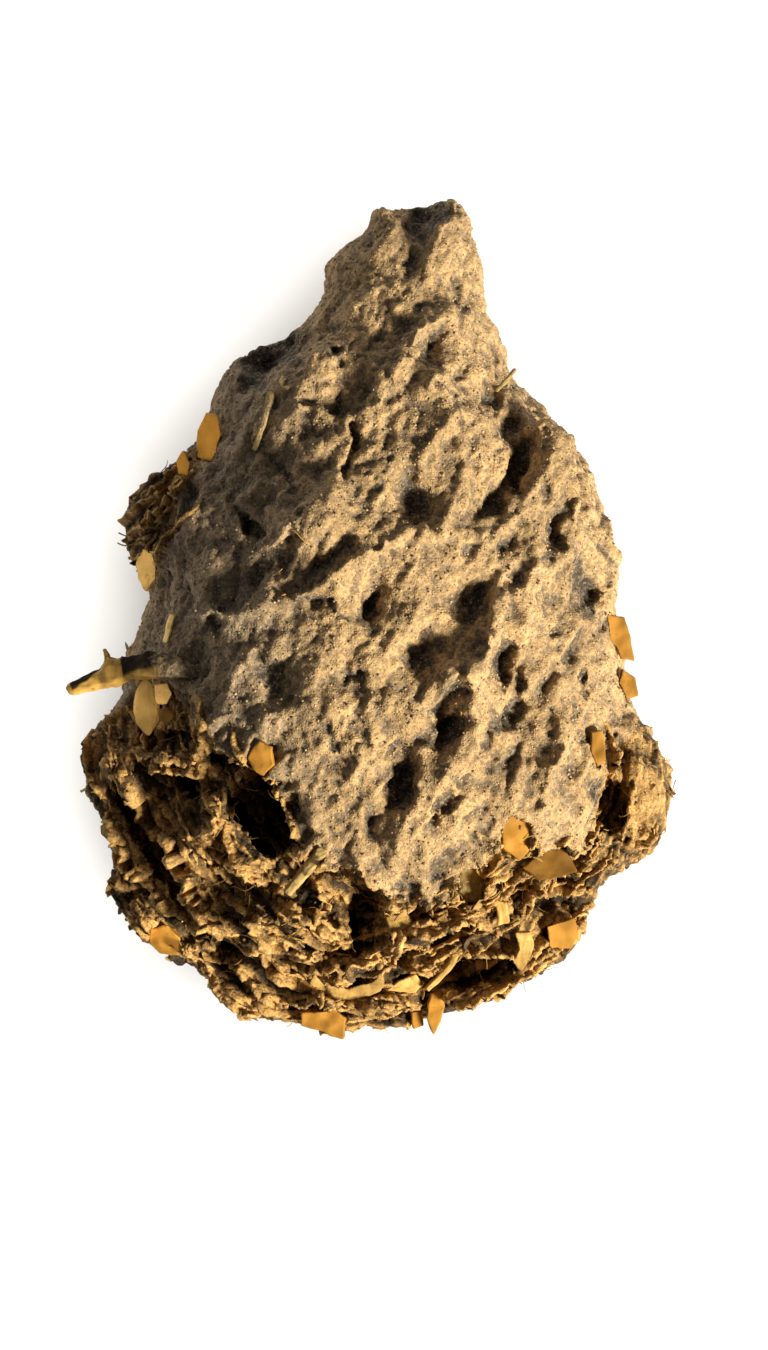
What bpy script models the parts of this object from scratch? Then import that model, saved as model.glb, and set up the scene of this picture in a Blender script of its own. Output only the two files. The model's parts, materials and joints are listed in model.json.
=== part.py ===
"""A pear-shaped coprolite, lying on its back with its tip towards +Y and its broken base towards -Y.

The dung mass is one solid: a crusted lump whose base is broken open, with ledges, clods and a hollow.
The plant bits bedded in it (a twig, seed husks, stalks, straws and flat scales) are pieces of their own.
Each one sits in a socket that is a little wider than it is.
Lengths are written in millimetres and built in metres. X runs across, Y up to the tip, Z off the table.
"""

import math
import random

import bmesh
import bpy
import numpy as np
from mathutils import Euler, Matrix, Vector, noise
from mathutils.bvhtree import BVHTree

MM = 0.001

# Driving dimensions
FLAT_SPOT_DEPTH = 10.3  # from the outline's plane down to the flat spot that the lump rests on
SOCKET_GAP = 0.1  # clearance around each plant bit
LUMP_SEGMENTS = 160  # steps around the lump and along it, before the fusing
LUMP_RINGS = 150
MERGE_VOXEL = 0.42  # grid that fuses the lobes, ledges and clods to the lump
MASS_FACES = 6700
CRUST_THICKNESS = 1.5  # the step from the crust down to the broken face
LAYER_THICKNESS = 1.1  # the layers that the broken face shows as ledges
BACK_CRUST_EDGE = -15.5  # where the crust ends on the back
NOISE_SEED = Vector((3.7, 8.1, 5.3))

# The lump's front height and back depth, from the base to the tip: y, height, depth
HEIGHTS = (
    (-23.6, 0.0, 0.0), (-22.6, 3.2, 3.2), (-21.0, 5.6, 5.4), (-19.0, 7.6, 7.3), (-17.0, 9.2, 8.8),
    (-15.0, 10.3, 9.7), (-12.0, 11.6, 10.7), (-8.0, 12.6, 11.3), (-4.0, 12.8, 11.4), (0.0, 12.3, 11.1),
    (4.0, 11.5, 10.4), (8.0, 10.4, 9.4), (12.0, 8.9, 7.9), (16.0, 7.2, 6.1), (20.0, 5.5, 4.5),
    (22.4, 4.2, 3.4), (23.7, 0.0, 0.0),
)

# The outline seen from the front, from the base to the tip: x, y
LEFT_EDGE = (
    (-1.6, -23.6), (-2.8, -23.3), (-4.6, -22.9), (-7.0, -22.8), (-8.5, -21.7), (-9.0, -20.7),
    (-10.2, -19.7), (-11.8, -19.2), (-12.9, -18.1), (-14.8, -16.4), (-15.1, -15.2), (-14.6, -14.1),
    (-15.0, -13.1), (-14.5, -12.3), (-15.4, -10.9), (-16.4, -10.0), (-16.3, -8.5), (-16.6, -7.5),
    (-16.1, -6.5), (-15.1, -5.4), (-14.2, -4.3), (-13.8, -1.8), (-12.9, 0.4), (-12.5, 1.6),
    (-13.0, 3.0), (-14.1, 4.4), (-14.2, 5.6), (-13.7, 7.0), (-12.6, 8.1), (-10.7, 9.0), (-9.7, 10.3),
    (-9.1, 12.2), (-8.4, 13.8), (-6.9, 14.9), (-4.7, 15.9), (-3.8, 16.6), (-2.8, 18.4), (-2.6, 20.2),
    (-1.3, 21.4), (-0.3, 22.2), (0.1, 23.4),
)
RIGHT_EDGE = (
    (0.4, -23.6), (2.2, -23.1), (4.8, -22.2), (6.8, -21.5), (8.5, -20.9), (9.9, -19.8), (11.6, -18.7),
    (12.1, -17.4), (12.6, -15.3), (13.6, -14.4), (15.0, -13.8), (16.1, -12.4), (16.8, -11.0),
    (17.1, -9.6), (16.8, -8.2), (16.1, -6.9), (15.0, -5.6), (14.5, -4.3), (14.3, -2.0), (13.9, 0.2),
    (14.0, 2.4), (13.9, 5.0), (12.9, 7.0), (12.0, 9.1), (11.1, 10.7), (9.7, 11.9), (8.4, 12.9),
    (7.5, 15.2), (6.6, 17.2), (6.2, 19.9), (5.7, 22.1), (4.8, 23.5),
)
EDGE_SMOOTHING = 1.3  # what is narrower than this in the outline stays near the outline's plane
EDGE_HALF_HEIGHT = 3.4

# The crust's torn lower edge on the front, from left to right: x, y
CRUST_EDGE = (
    (-16.0, -2.5), (-13.0, -3.2), (-9.8, -4.4), (-9.0, -6.0), (-7.8, -7.3), (-6.1, -8.0), (-4.8, -9.0),
    (-4.1, -10.9), (-3.4, -12.6), (-2.0, -13.5), (-0.3, -13.4), (0.8, -15.0), (3.3, -15.3),
    (4.4, -14.3), (6.2, -13.0), (7.4, -11.2), (8.6, -11.2), (9.6, -12.9), (11.9, -12.8), (12.5, -10.4),
    (13.0, -7.0), (15.5, -5.4),
)

# Lobes and plates that stand out of the lump: x, y, z, half width, half length, half height
LOBES = (
    (-11.3, 5.7, -0.8, 2.7, 2.8, 4.6),  # fibrous lobe on the left
    (-13.3, -8.6, -0.8, 2.9, 2.8, 4.8),  # left rim of the base
    (13.6, -9.9, 0.6, 3.3, 4.5, 5.6),  # crusted lobe on the right
    (0.5, 22.6, 2.0, 0.8, 1.1, 1.6),  # two horns of the tip
    (4.3, 22.0, 1.9, 1.3, 1.8, 2.4),
    (-7.9, 2.0, 8.1, 2.5, 2.4, 1.9),  # plates and lumps of the crust
    (-2.6, 4.9, 10.0, 2.9, 3.2, 2.2),
    (-2.5, 13.0, 6.6, 2.9, 2.3, 2.2),
    (-5.4, 8.8, 7.6, 2.2, 3.0, 1.8),
    (-7.6, -5.6, 8.6, 2.1, 1.9, 1.9),
    (9.7, 7.6, 6.4, 2.1, 3.6, 1.8),
    (3.3, 10.8, 8.2, 1.6, 3.4, 1.5),
    (1.2, -11.3, 10.2, 2.2, 3.4, 1.9),
    (9.6, -8.2, 8.4, 2.3, 3.8, 1.9),
)

# Ridges along the surface, seen from the front: half width, height, then points x, y
RIDGES = (
    (
        0.8, 1.5,
        (-15.0, -10.6), (-14.2, -12.6), (-13.2, -14.2), (-11.9, -15.6), (-9.4, -17.2), (-7.3, -18.0),
    ),
    (
        0.8, 1.5,
        (-14.9, -8.2), (-13.3, -9.9), (-12.3, -11.6), (-10.9, -12.8), (-9.9, -14.6), (-8.9, -16.2),
    ),
    (0.6, 1.1, (-14.3, -8.0), (-12.6, -7.8), (-10.7, -7.8), (-9.4, -8.2)),
    (0.7, 1.0, (-9.4, -9.8), (-8.3, -10.8), (-9.8, -11.9)),
    (0.8, 1.4, (-8.0, -15.6), (-6.3, -17.3), (-5.0, -18.6), (-2.4, -19.2), (0.3, -19.3)),
    (0.7, 1.3, (-7.0, -18.2), (-6.1, -20.0), (-4.3, -21.1), (-1.9, -21.7)),
    (0.6, 1.2, (1.3, -15.9), (1.5, -17.6), (0.9, -19.5), (0.5, -21.2)),
    (0.6, 1.2, (2.0, -18.4), (3.7, -17.0), (5.6, -16.6), (7.0, -14.4)),
    (0.6, 1.2, (4.2, -19.2), (6.4, -18.4), (8.6, -16.8), (10.6, -15.8)),
    (0.6, 1.2, (5.0, -21.3), (7.3, -20.7), (9.6, -19.0), (11.4, -17.6)),
    (0.7, 0.8, (0.6, 12.5), (2.0, 15.1), (2.9, 16.5), (4.7, 17.0)),
    (0.6, 0.7, (1.4, 6.8), (3.3, 9.6), (4.6, 11.3)),
    (0.7, 0.9, (3.7, -3.0), (4.8, -3.3), (6.1, -2.1), (7.0, 1.0)),
    (0.7, 0.8, (-5.5, 4.2), (-4.3, 5.8), (-3.5, 6.8)),
    (0.7, 0.8, (-3.7, 1.3), (-2.3, 2.1), (-0.8, 3.3), (1.3, 4.2)),
    (0.6, 0.9, (-9.3, 0.2), (-7.6, 0.0), (-5.6, 0.6)),
    (0.7, 0.9, (8.3, -1.4), (9.0, 2.0), (9.6, 4.6)),
    (0.7, 0.8, (2.6, -12.4), (3.8, -9.2), (5.5, -6.3), (6.2, -3.6)),
    (0.6, 0.8, (9.4, -10.9), (10.1, -7.2), (10.5, -3.6)),
    (0.6, 0.7, (6.3, 8.8), (7.4, 12.4), (6.3, 16.2)),
)

CLOD_COUNT = 95
CLOD_RADII = (0.35, 1.1)
CLOD_SEED = 11
GRAIN_TURN = math.radians(64)  # the crust's ridges run up to the right
GRAIN_STRETCH = 2.0

# Pits and hollows, seen from the front: x, y, half length, half width, turn in degrees from +X, depth
PITS = (
    (2.5, 22.6, 1.7, 1.2, 90, 1.7),
    (2.2, 20.2, 1.8, 0.9, 90, 0.8),
    (5.0, 17.8, 2.4, 0.5, 104, 0.7),
    (3.4, 15.1, 1.2, 0.8, 60, 0.9),
    (6.6, 12.3, 1.2, 0.8, 80, 1.0),
    (7.5, 10.5, 1.2, 0.8, 30, 1.0),
    (8.3, 8.7, 2.1, 0.9, 82, 1.4),
    (7.1, 6.4, 2.0, 1.0, 55, 1.3),
    (2.3, 6.6, 1.9, 0.9, 116, 1.2),
    (7.7, 3.9, 0.9, 0.8, 90, 1.0),
    (5.6, 0.8, 1.7, 1.2, 62, 1.3),
    (3.3, -2.1, 1.9, 1.1, 35, 1.1),
    (0.0, 0.6, 1.1, 0.9, 90, 1.7),
    (10.4, 5.2, 1.6, 0.8, 80, 1.2),
    (12.0, 2.0, 2.3, 0.8, 98, 1.2),
    (10.1, 0.8, 1.4, 0.8, 90, 0.7),
    (-1.6, -3.7, 1.3, 0.9, 15, 1.3),
    (-5.0, -4.0, 1.4, 1.1, 80, 1.5),
    (3.8, -5.7, 1.2, 1.0, 90, 1.8),
    (1.7, -8.7, 1.9, 1.0, 86, 1.7),
    (7.3, -2.5, 1.6, 0.6, 70, 1.3),
    (7.9, -5.4, 1.2, 0.9, 70, 1.2),
    (6.6, -8.3, 1.6, 0.8, 50, 0.9),
    (1.8, -15.9, 1.5, 0.8, 12, 1.1),
    (13.4, -10.6, 1.4, 1.0, 85, 2.3),
    (13.2, -6.6, 1.1, 0.6, 80, 1.5),
    (14.1, -13.2, 1.2, 0.8, 0, 1.3),
    (-5.2, 14.7, 2.0, 1.0, 32, 2.0),
    (-9.3, -2.2, 1.3, 0.6, 0, 1.1),
    (-11.5, -6.9, 1.9, 1.0, 5, 1.8),  # recess under the seed husk
    (-6.0, -11.0, 2.4, 2.0, 100, 3.9),  # the black hollow under the crust
    (-5.0, -14.4, 1.8, 1.1, 20, 1.6),
    (-0.5, -16.6, 1.8, 1.2, 75, 2.4),
    (-12.8, -11.6, 2.2, 0.8, 130, 1.5),
    (-9.9, -9.2, 1.5, 0.7, 5, 1.3),
    (-10.9, -14.4, 1.8, 0.8, 128, 1.3),
    (-7.7, -18.6, 1.9, 0.9, 70, 1.4),
    (-4.5, -19.6, 1.9, 0.7, 145, 1.3),
    (5.9, -20.3, 1.9, 0.7, 20, 1.4),
    (4.6, -17.9, 1.5, 0.7, 35, 1.2),
    (8.6, -14.8, 1.2, 0.9, 60, 1.1),
)

# Colour and roughness of each material, as seen dry in daylight
MATERIALS = {
    "dung": ((0.33, 0.25, 0.16), 0.95),
    "charred_twig": ((0.30, 0.19, 0.08), 0.7),
    "pale_husk": ((0.56, 0.36, 0.13), 0.6),
    "amber_husk": ((0.50, 0.26, 0.05), 0.5),
    "straw": ((0.52, 0.36, 0.17), 0.7),
}

# The twig: radii, then the points of its route as x, y and level above the surface at its bedded end
TWIG_RADII = (0.35, 0.45, 0.5, 0.75, 0.62, 0.72, 0.7, 0.5)
TWIG_ROUTE = (
    (-17.0, -4.1, -5.0), (-16.3, -3.9, -4.7), (-15.1, -3.4, -4.1), (-14.5, -3.1, -3.8),
    (-13.7, -2.9, -3.3), (-12.2, -2.7, -2.2), (-10.6, -2.9, -1.0), (-9.2, -3.3, -0.3),
)

# Straws: material, radii, then the points of the route as x, y and lift above the surface
STALKS = {
    "cavity_stalk": (
        "straw", (0.33, 0.36, 0.3),
        (-2.8, -13.0, 0.3), (-3.7, -14.2, 1.0), (-4.7, -15.4, 0.1),
    ),
    "crust_straw": (
        "straw", (0.45, 0.3, 0.26, 0.24),
        (-5.6, 12.3, 0.3), (-5.8, 11.5, 0.2), (-6.1, 10.4, 0.1), (-6.5, 9.2, 0.0),
    ),
    "side_straw": (
        "straw", (0.25, 0.3, 0.25),
        (-11.1, 0.1, 0.4), (-11.3, -0.6, 0.4), (-11.5, -1.4, 0.3),
    ),
    "neck_straw": (
        "straw", (0.2, 0.24, 0.2),
        (7.0, 12.7, 0.0), (7.5, 13.2, 0.7), (8.1, 14.0, 3.2),
    ),
    "curled_strip": (
        "pale_husk", (0.25, 0.3, 0.3, 0.22),
        (4.7, -19.1, 0.4), (4.5, -19.6, 0.7), (3.7, -20.5, 0.6), (3.1, -21.1, 0.4),
    ),
}

# Almond-shaped husks: x, y, lift off the surface, half width, length and height, turns about X, Y and Z
HUSKS = {"seed_husk": (-12.7, -5.1, 0.6, (0.8, 1.65, 0.45), (-8, -20, 6))}

# Flat bits: material, thickness, slope along x and y, the bedded root (x, y, lift), then the outline (x, y)
SCALES = {
    "husk_bit": (
        "pale_husk", 0.45, (0.9, -0.2), (-11.1, -4.3, -0.3),
        (-12.1, -3.9), (-11.4, -3.7), (-11.1, -4.3), (-11.4, -4.9), (-12.0, -4.8),
    ),
    "husk_flake": (
        "amber_husk", 0.4, (0.8, 0.0), (-11.0, -5.6, -0.3),
        (-11.9, -5.2), (-11.3, -5.1), (-11.0, -5.6), (-11.4, -6.0), (-11.9, -5.8),
    ),
    "lip_chip": (
        "amber_husk", 0.5, (0.3, 0.1), (-6.0, -7.1, -0.3),
        (-6.8, -7.8), (-6.1, -6.9), (-5.4, -7.2), (-5.4, -8.2), (-5.9, -8.8), (-6.4, -8.5),
    ),
    "amber_flake_upper": (
        "amber_husk", 0.45, (-0.25, 0.2), (8.3, -11.6, -0.3),
        (7.7, -11.0), (8.8, -11.6), (8.7, -13.0), (8.2, -13.5), (7.2, -12.8), (7.3, -11.6),
    ),
    "amber_flake_lower": (
        "amber_husk", 0.45, (-0.2, 0.2), (10.5, -13.2, -0.3),
        (8.4, -14.0), (9.8, -13.1), (10.9, -12.9), (11.5, -14.3), (10.4, -14.6), (9.4, -14.7),
    ),
    "bright_chip": (
        "pale_husk", 0.5, (0.0, 0.3), (7.3, -16.0, -0.3),
        (7.0, -15.9), (7.6, -16.0), (7.7, -17.1), (7.1, -17.3),
    ),
    "olive_chip": (
        "straw", 0.45, (0.1, 0.3), (5.6, -14.3, -0.3),
        (5.0, -14.1), (5.9, -14.0), (6.3, -14.9), (6.1, -16.0), (5.4, -16.1), (4.9, -15.3),
    ),
    "pale_chip": (
        "pale_husk", 0.4, (0.1, 0.3), (1.9, -16.7, -0.3),
        (0.8, -16.8), (1.8, -16.4), (2.3, -17.0), (1.9, -17.5), (1.0, -17.5),
    ),
    "standing_chip": (
        "pale_husk", 0.5, (-0.2, 1.2), (8.4, -19.7, -0.3),
        (8.1, -17.8), (8.9, -17.7), (9.2, -18.5), (8.9, -19.4), (8.5, -20.1), (8.0, -19.6),
        (8.3, -18.7),
    ),
    "corner_block": (
        "amber_husk", 0.8, (-0.6, 0.5), (10.4, -18.0, -0.3),
        (10.0, -17.5), (11.4, -17.1), (11.8, -18.0), (11.3, -18.8), (10.1, -18.7),
    ),
    "curved_peel": (
        "pale_husk", 0.45, (0.0, 0.4), (-1.4, -21.0, -0.2),
        (-3.3, -20.2), (-2.6, -20.8), (-1.4, -21.1), (-0.2, -20.8), (0.6, -20.3), (0.7, -20.9),
        (-0.1, -21.5), (-1.5, -21.8), (-2.7, -21.4), (-3.5, -20.7),
    ),
    "base_plate": (
        "pale_husk", 0.4, (0.0, 0.4), (1.9, -20.6, -0.2),
        (0.9, -21.2), (1.5, -20.6), (2.5, -20.2), (2.9, -20.8), (2.4, -21.3),
    ),
    "base_spike": (
        "amber_husk", 0.5, (0.0, 0.3), (3.7, -21.5, -0.3),
        (3.4, -21.3), (4.0, -21.3), (4.1, -22.1), (3.9, -22.9), (3.5, -23.7), (3.2, -22.9),
        (3.2, -22.0),
    ),
    "spike_chip": (
        "amber_husk", 0.4, (0.0, 0.4), (2.5, -22.5, -0.3),
        (2.2, -22.5), (2.8, -22.4), (2.9, -23.2), (2.4, -23.4),
    ),
    "base_flap": (
        "amber_husk", 0.5, (0.0, 0.3), (-2.8, -22.4, -0.3),
        (-4.0, -22.5), (-2.2, -22.3), (-1.5, -22.8), (-1.6, -24.0), (-2.3, -23.8), (-3.2, -23.4),
        (-4.0, -23.2),
    ),
    "rim_scale": (
        "amber_husk", 0.6, (0.5, 0.5), (-11.2, -17.9, -0.3),
        (-12.6, -17.7), (-11.6, -17.5), (-10.9, -18.2), (-11.0, -19.1), (-12.0, -19.1), (-12.6, -18.5),
    ),
    "left_strip": (
        "amber_husk", 0.5, (0.6, 0.0), (-8.8, 10.0, -0.3),
        (-9.8, 9.0), (-9.0, 8.7), (-8.5, 10.2), (-8.7, 11.4), (-9.3, 11.5), (-9.8, 10.5),
    ),
    "left_chip": (
        "amber_husk", 0.5, (0.5, 0.0), (-10.4, 8.4, -0.3),
        (-11.0, 8.8), (-10.5, 9.3), (-10.2, 8.6), (-10.3, 7.9), (-10.9, 8.0),
    ),
    "left_plate": (
        "pale_husk", 0.5, (0.7, 0.0), (-12.4, 2.7, -0.3),
        (-13.3, 3.1), (-12.9, 3.8), (-12.3, 3.5), (-12.2, 2.2), (-12.7, 1.5), (-13.2, 2.2),
    ),
    "right_husk_upper": (
        "amber_husk", 0.5, (-0.6, 0.0), (13.6, -0.8, -0.3),
        (13.3, 0.1), (14.3, 0.0), (14.6, -1.1), (14.9, -2.4), (14.2, -2.3), (13.5, -1.2),
    ),
    "right_husk_lower": (
        "amber_husk", 0.5, (-0.6, 0.0), (14.2, -3.6, -0.3),
        (14.2, -2.9), (14.9, -3.4), (15.1, -4.4), (14.5, -4.6), (14.0, -3.7),
    ),
    "right_sliver": (
        "amber_husk", 0.45, (-0.3, 0.0), (12.3, -7.0, -0.3),
        (12.2, -6.4), (12.8, -6.4), (13.0, -7.9), (12.6, -8.5), (12.2, -7.6),
    ),
}


def smoothstep(low, high, value):
    """0 below low, 1 above high and an even curve between them."""
    t = np.clip((value - low) / (high - low), 0.0, 1.0)
    return t * t * (3.0 - 2.0 * t)


def noise_at(points, scale):
    """Soft noise from about -1 to 1 whose bumps are about scale across."""
    return np.array([noise.noise(Vector(p) / scale + NOISE_SEED) for p in points])


def across_grain(points):
    """The points drawn together along the crust's grain, so that noise on them runs along it."""
    c, s = math.cos(GRAIN_TURN), math.sin(GRAIN_TURN)
    along = points[:, 0] * c + points[:, 1] * s
    across = points[:, 1] * c - points[:, 0] * s
    return np.stack([along / GRAIN_STRETCH, across, points[:, 2]], axis=1)


def edge_at(edge, y):
    """The outline's x at y."""
    xs, ys = np.array(edge).T
    return np.interp(y, ys, xs)


def smooth_edge_at(edge, y):
    """The outline's x at y without what is narrower than EDGE_SMOOTHING."""
    offsets = np.linspace(-2.0, 2.0, 17)
    weights = np.exp(-0.5 * offsets**2)
    spread = [edge_at(edge, y + k * EDGE_SMOOTHING) for k in offsets]
    return np.average(spread, axis=0, weights=weights)


def distance_to_route(points, route):
    """Distance, seen from the front, from each point to the route."""
    nearest = np.full(len(points), np.inf)
    for start, end in zip(np.array(route)[:-1], np.array(route)[1:]):
        run = end - start
        t = np.clip((points[:, :2] - start) @ run / (run @ run), 0.0, 1.0)
        gap = points[:, :2] - (start + t[:, None] * run)
        nearest = np.minimum(nearest, np.hypot(gap[:, 0], gap[:, 1]))
    return nearest


def past_crust_edge(points):
    """How far each point lies past the crust's torn edge on the broken side. It is negative on the crust."""
    xs, ys = np.array(CRUST_EDGE).T
    distance = distance_to_route(points, CRUST_EDGE)
    front = np.where(points[:, 1] < np.interp(points[:, 0], xs, ys), distance, -distance)
    back = BACK_CRUST_EDGE + noise_at(points, 5.0) - points[:, 1]
    side = smoothstep(-4.0, 3.0, points[:, 2])
    return side * front + (1 - side) * back


def broken_face_drop(points):
    """How far the broken face lies below the lump's full surface: the crust, then uneven layers."""
    layers = 1.6 + 2.2 * noise_at(points, 4.2)
    tread = np.floor(layers)
    ledge = np.clip(tread + smoothstep(0.55, 1.0, layers - tread), 0, 3)
    return (CRUST_THICKNESS + LAYER_THICKNESS * ledge) * smoothstep(0.0, 0.7, past_crust_edge(points))


def points_of(bm):
    return np.array([v.co for v in bm.verts])


def move_to(bm, points):
    for vert, point in zip(bm.verts, points):
        vert.co = point


def lump_core():
    """The lump itself: a sphere drawn out through the outline and stepped down where it is broken."""
    bm = bmesh.new()
    bmesh.ops.create_uvsphere(bm, u_segments=LUMP_SEGMENTS, v_segments=LUMP_RINGS, radius=1.0)
    unit = points_of(bm)
    at, front, back = np.array(HEIGHTS).T
    latitude = np.arcsin(np.clip(unit[:, 2], -1, 1)) / math.pi + 0.5
    around = np.arctan2(unit[:, 1], unit[:, 0])
    y = at[0] + (at[-1] - at[0]) * latitude
    upright = np.sin(around)
    rise = upright * np.where(upright > 0, np.interp(y, at, front), np.interp(y, at, back))
    near_outline = np.exp(-((rise / EDGE_HALF_HEIGHT) ** 2))
    left, right = (
        smooth_edge_at(edge, y) * (1 - near_outline) + edge_at(edge, y) * near_outline
        for edge in (LEFT_EDGE, RIGHT_EDGE)
    )
    points = np.stack([(left + right) / 2 - (right - left) / 2 * np.cos(around), y, rise], axis=1)
    inward = np.stack([0.2 * points[:, 0], 0.2 * (points[:, 1] + 8.0), points[:, 2]], axis=1)
    inward /= np.maximum(np.linalg.norm(inward, axis=1, keepdims=True), 1e-6)
    facing = smoothstep(0.5, 4.0, np.abs(points[:, 2]))
    points -= inward * (broken_face_drop(points) * facing)[:, None]
    move_to(bm, points)
    bmesh.ops.recalc_face_normals(bm, faces=bm.faces)
    return bm


def add_ellipsoid(bm, centre, halves):
    made = bmesh.ops.create_icosphere(bm, subdivisions=3, radius=1.0)
    bmesh.ops.transform(
        bm, verts=made["verts"], matrix=Matrix.Translation(centre) @ Matrix.Diagonal((*halves, 1.0))
    )


def front_point(tree, x, y, sink=0.0):
    """The point on the lump's front at x, y, sunk below the surface by sink."""
    hit = tree.ray_cast(Vector((x, y, 60.0)), Vector((0, 0, -1)))[0]
    return Vector((x, y, (hit.z if hit is not None else 0.0) - sink))


def scatter_clods(bm, tree):
    """Clods of many sizes on the broken face, half sunk in it."""
    draw = random.Random(CLOD_SEED)
    placed = 0
    while placed < CLOD_COUNT:
        x, y = draw.uniform(-15.5, 12.5), draw.uniform(-23.0, -4.0)
        radius = CLOD_RADII[0] + (CLOD_RADII[1] - CLOD_RADII[0]) * draw.random() ** 2
        spot = front_point(tree, x, y, sink=0.25 * radius)
        inside = edge_at(LEFT_EDGE, y) + radius < x < edge_at(RIGHT_EDGE, y) - radius
        if inside and past_crust_edge(np.array([spot]))[0] > radius:
            halves = (radius * draw.uniform(0.8, 1.3), radius * draw.uniform(0.7, 1.0), 0.9 * radius)
            add_ellipsoid(bm, spot, halves)
            placed += 1


def weathered(points, normals):
    """The points with the ridges raised, the pits pressed in and soft relief all over."""
    facing = smoothstep(0.0, 0.4, normals[:, 2])
    lift = np.zeros(len(points))
    ragged = 1.0 + 0.6 * noise_at(points, 1.7)
    for half_width, height, *route in RIDGES:
        reach = distance_to_route(points, route) / half_width
        lift += height * ragged * (1.0 - smoothstep(0.2, 1.0, reach))
    for x, y, half_length, half_width, turn, depth in PITS:
        c, s = math.cos(math.radians(turn)), math.sin(math.radians(turn))
        dx, dy = points[:, 0] - x, points[:, 1] - y
        reach = np.hypot((dx * c + dy * s) / half_length, (dy * c - dx * s) / half_width)
        lift -= depth * (1.0 - smoothstep(0.3, 1.25, reach + 0.2 * (ragged - 1.0)))
    grain = across_grain(points)
    crust = 0.5 * noise_at(grain, 2.1) + 0.3 * noise_at(grain + 40.0, 1.1)
    layered = 0.8 * (0.4 - np.abs(noise_at(points * [0.6, 1.0, 1.0], 2.0)))
    layered += 0.35 * noise_at(points, 0.9)
    broken = smoothstep(-0.3, 0.5, past_crust_edge(points))
    moved = points + normals * (crust * (1 - broken) + layered * broken)[:, None]
    moved[:, 2] += lift * facing
    return moved


def evaluated_mesh(obj):
    """A plain mesh of the object with its modifiers applied."""
    bpy.context.view_layer.update()
    return bpy.data.meshes.new_from_object(obj.evaluated_get(bpy.context.evaluated_depsgraph_get()))


def apply_modifiers(obj):
    """Replaces the object's mesh with its evaluated one and drops the modifiers."""
    mesh = evaluated_mesh(obj)
    obj.modifiers.clear()
    obj.data = mesh


def remesh(obj, voxel):
    modifier = obj.modifiers.new("fuse", "REMESH")
    modifier.mode = "VOXEL"
    modifier.voxel_size = voxel * MM
    apply_modifiers(obj)


def keep_largest_body(bm):
    """Removes every loose body but the largest one."""
    left, bodies = set(bm.verts), []
    while left:
        reached, todo = set(), [next(iter(left))]
        while todo:
            vert = todo.pop()
            if vert not in reached:
                reached.add(vert)
                todo.extend(edge.other_vert(vert) for edge in vert.link_edges)
        left -= reached
        bodies.append(reached)
    keep = max(bodies, key=len)
    bmesh.ops.delete(bm, geom=[v for v in bm.verts if v not in keep], context="VERTS")


def edit(obj, change):
    """Runs change on the object's mesh as a bmesh in millimetres."""
    bm = bmesh.new()
    bm.from_mesh(obj.data)
    bmesh.ops.transform(bm, verts=bm.verts, matrix=Matrix.Scale(1 / MM, 4))
    change(bm)
    bmesh.ops.transform(bm, verts=bm.verts, matrix=Matrix.Scale(MM, 4))
    bm.to_mesh(obj.data)
    bm.free()


def new_object(name, bm, collection):
    """A new object of that name in the collection, from a bmesh in millimetres."""
    mesh = bpy.data.meshes.new(name)
    bmesh.ops.transform(bm, verts=bm.verts, matrix=Matrix.Scale(MM, 4))
    bm.to_mesh(mesh)
    bm.free()
    obj = bpy.data.objects.new(name, mesh)
    collection.objects.link(obj)
    return obj


def dung_mass(collection):
    """The lump with its lobes, ridges, clods, pits and flat spot, as one closed solid."""
    bm = lump_core()
    tree = BVHTree.FromBMesh(bm)
    for x, y, z, *halves in LOBES:
        add_ellipsoid(bm, (x, y, z), halves)
    scatter_clods(bm, tree)
    mass = new_object("dung_mass", bm, collection)
    remesh(mass, MERGE_VOXEL)

    def weather(bm):
        bm.normal_update()
        normals = np.array([v.normal for v in bm.verts])
        move_to(bm, weathered(points_of(bm), normals))

    def flatten(bm):
        keep_largest_body(bm)
        everything = bm.verts[:] + bm.edges[:] + bm.faces[:]
        flat_spot = {"plane_co": (0, 0, -FLAT_SPOT_DEPTH), "plane_no": (0, 0, -1)}
        cut = bmesh.ops.bisect_plane(bm, geom=everything, dist=1e-4, clear_outer=True, **flat_spot)
        rim = [item for item in cut["geom_cut"] if isinstance(item, bmesh.types.BMEdge)]
        bmesh.ops.holes_fill(bm, edges=rim)
        bmesh.ops.triangulate(bm, faces=bm.faces)

    edit(mass, weather)
    remesh(mass, MERGE_VOXEL)
    thin = mass.modifiers.new("thin", "DECIMATE")
    thin.ratio = MASS_FACES / (2 * len(mass.data.polygons))
    thin.use_collapse_triangulate = True
    apply_modifiers(mass)
    edit(mass, flatten)
    return mass


def stalk_mesh(route, radii):
    """A twig or straw: a closed tube through the route's points, as thick at each as its radius."""
    curve = bpy.data.curves.new("route", "CURVE")
    curve.dimensions = "3D"
    curve.bevel_depth = MM
    curve.bevel_resolution = 1
    curve.use_fill_caps = True
    spline = curve.splines.new("POLY")
    spline.points.add(len(route) - 1)
    for point, place, radius in zip(spline.points, route, radii):
        point.co = (*(Vector(place) * MM), 1.0)
        point.radius = radius
    guide = bpy.data.objects.new("route", curve)
    bpy.context.scene.collection.objects.link(guide)
    mesh = evaluated_mesh(guide)
    bpy.data.objects.remove(guide)
    return mesh


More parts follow.
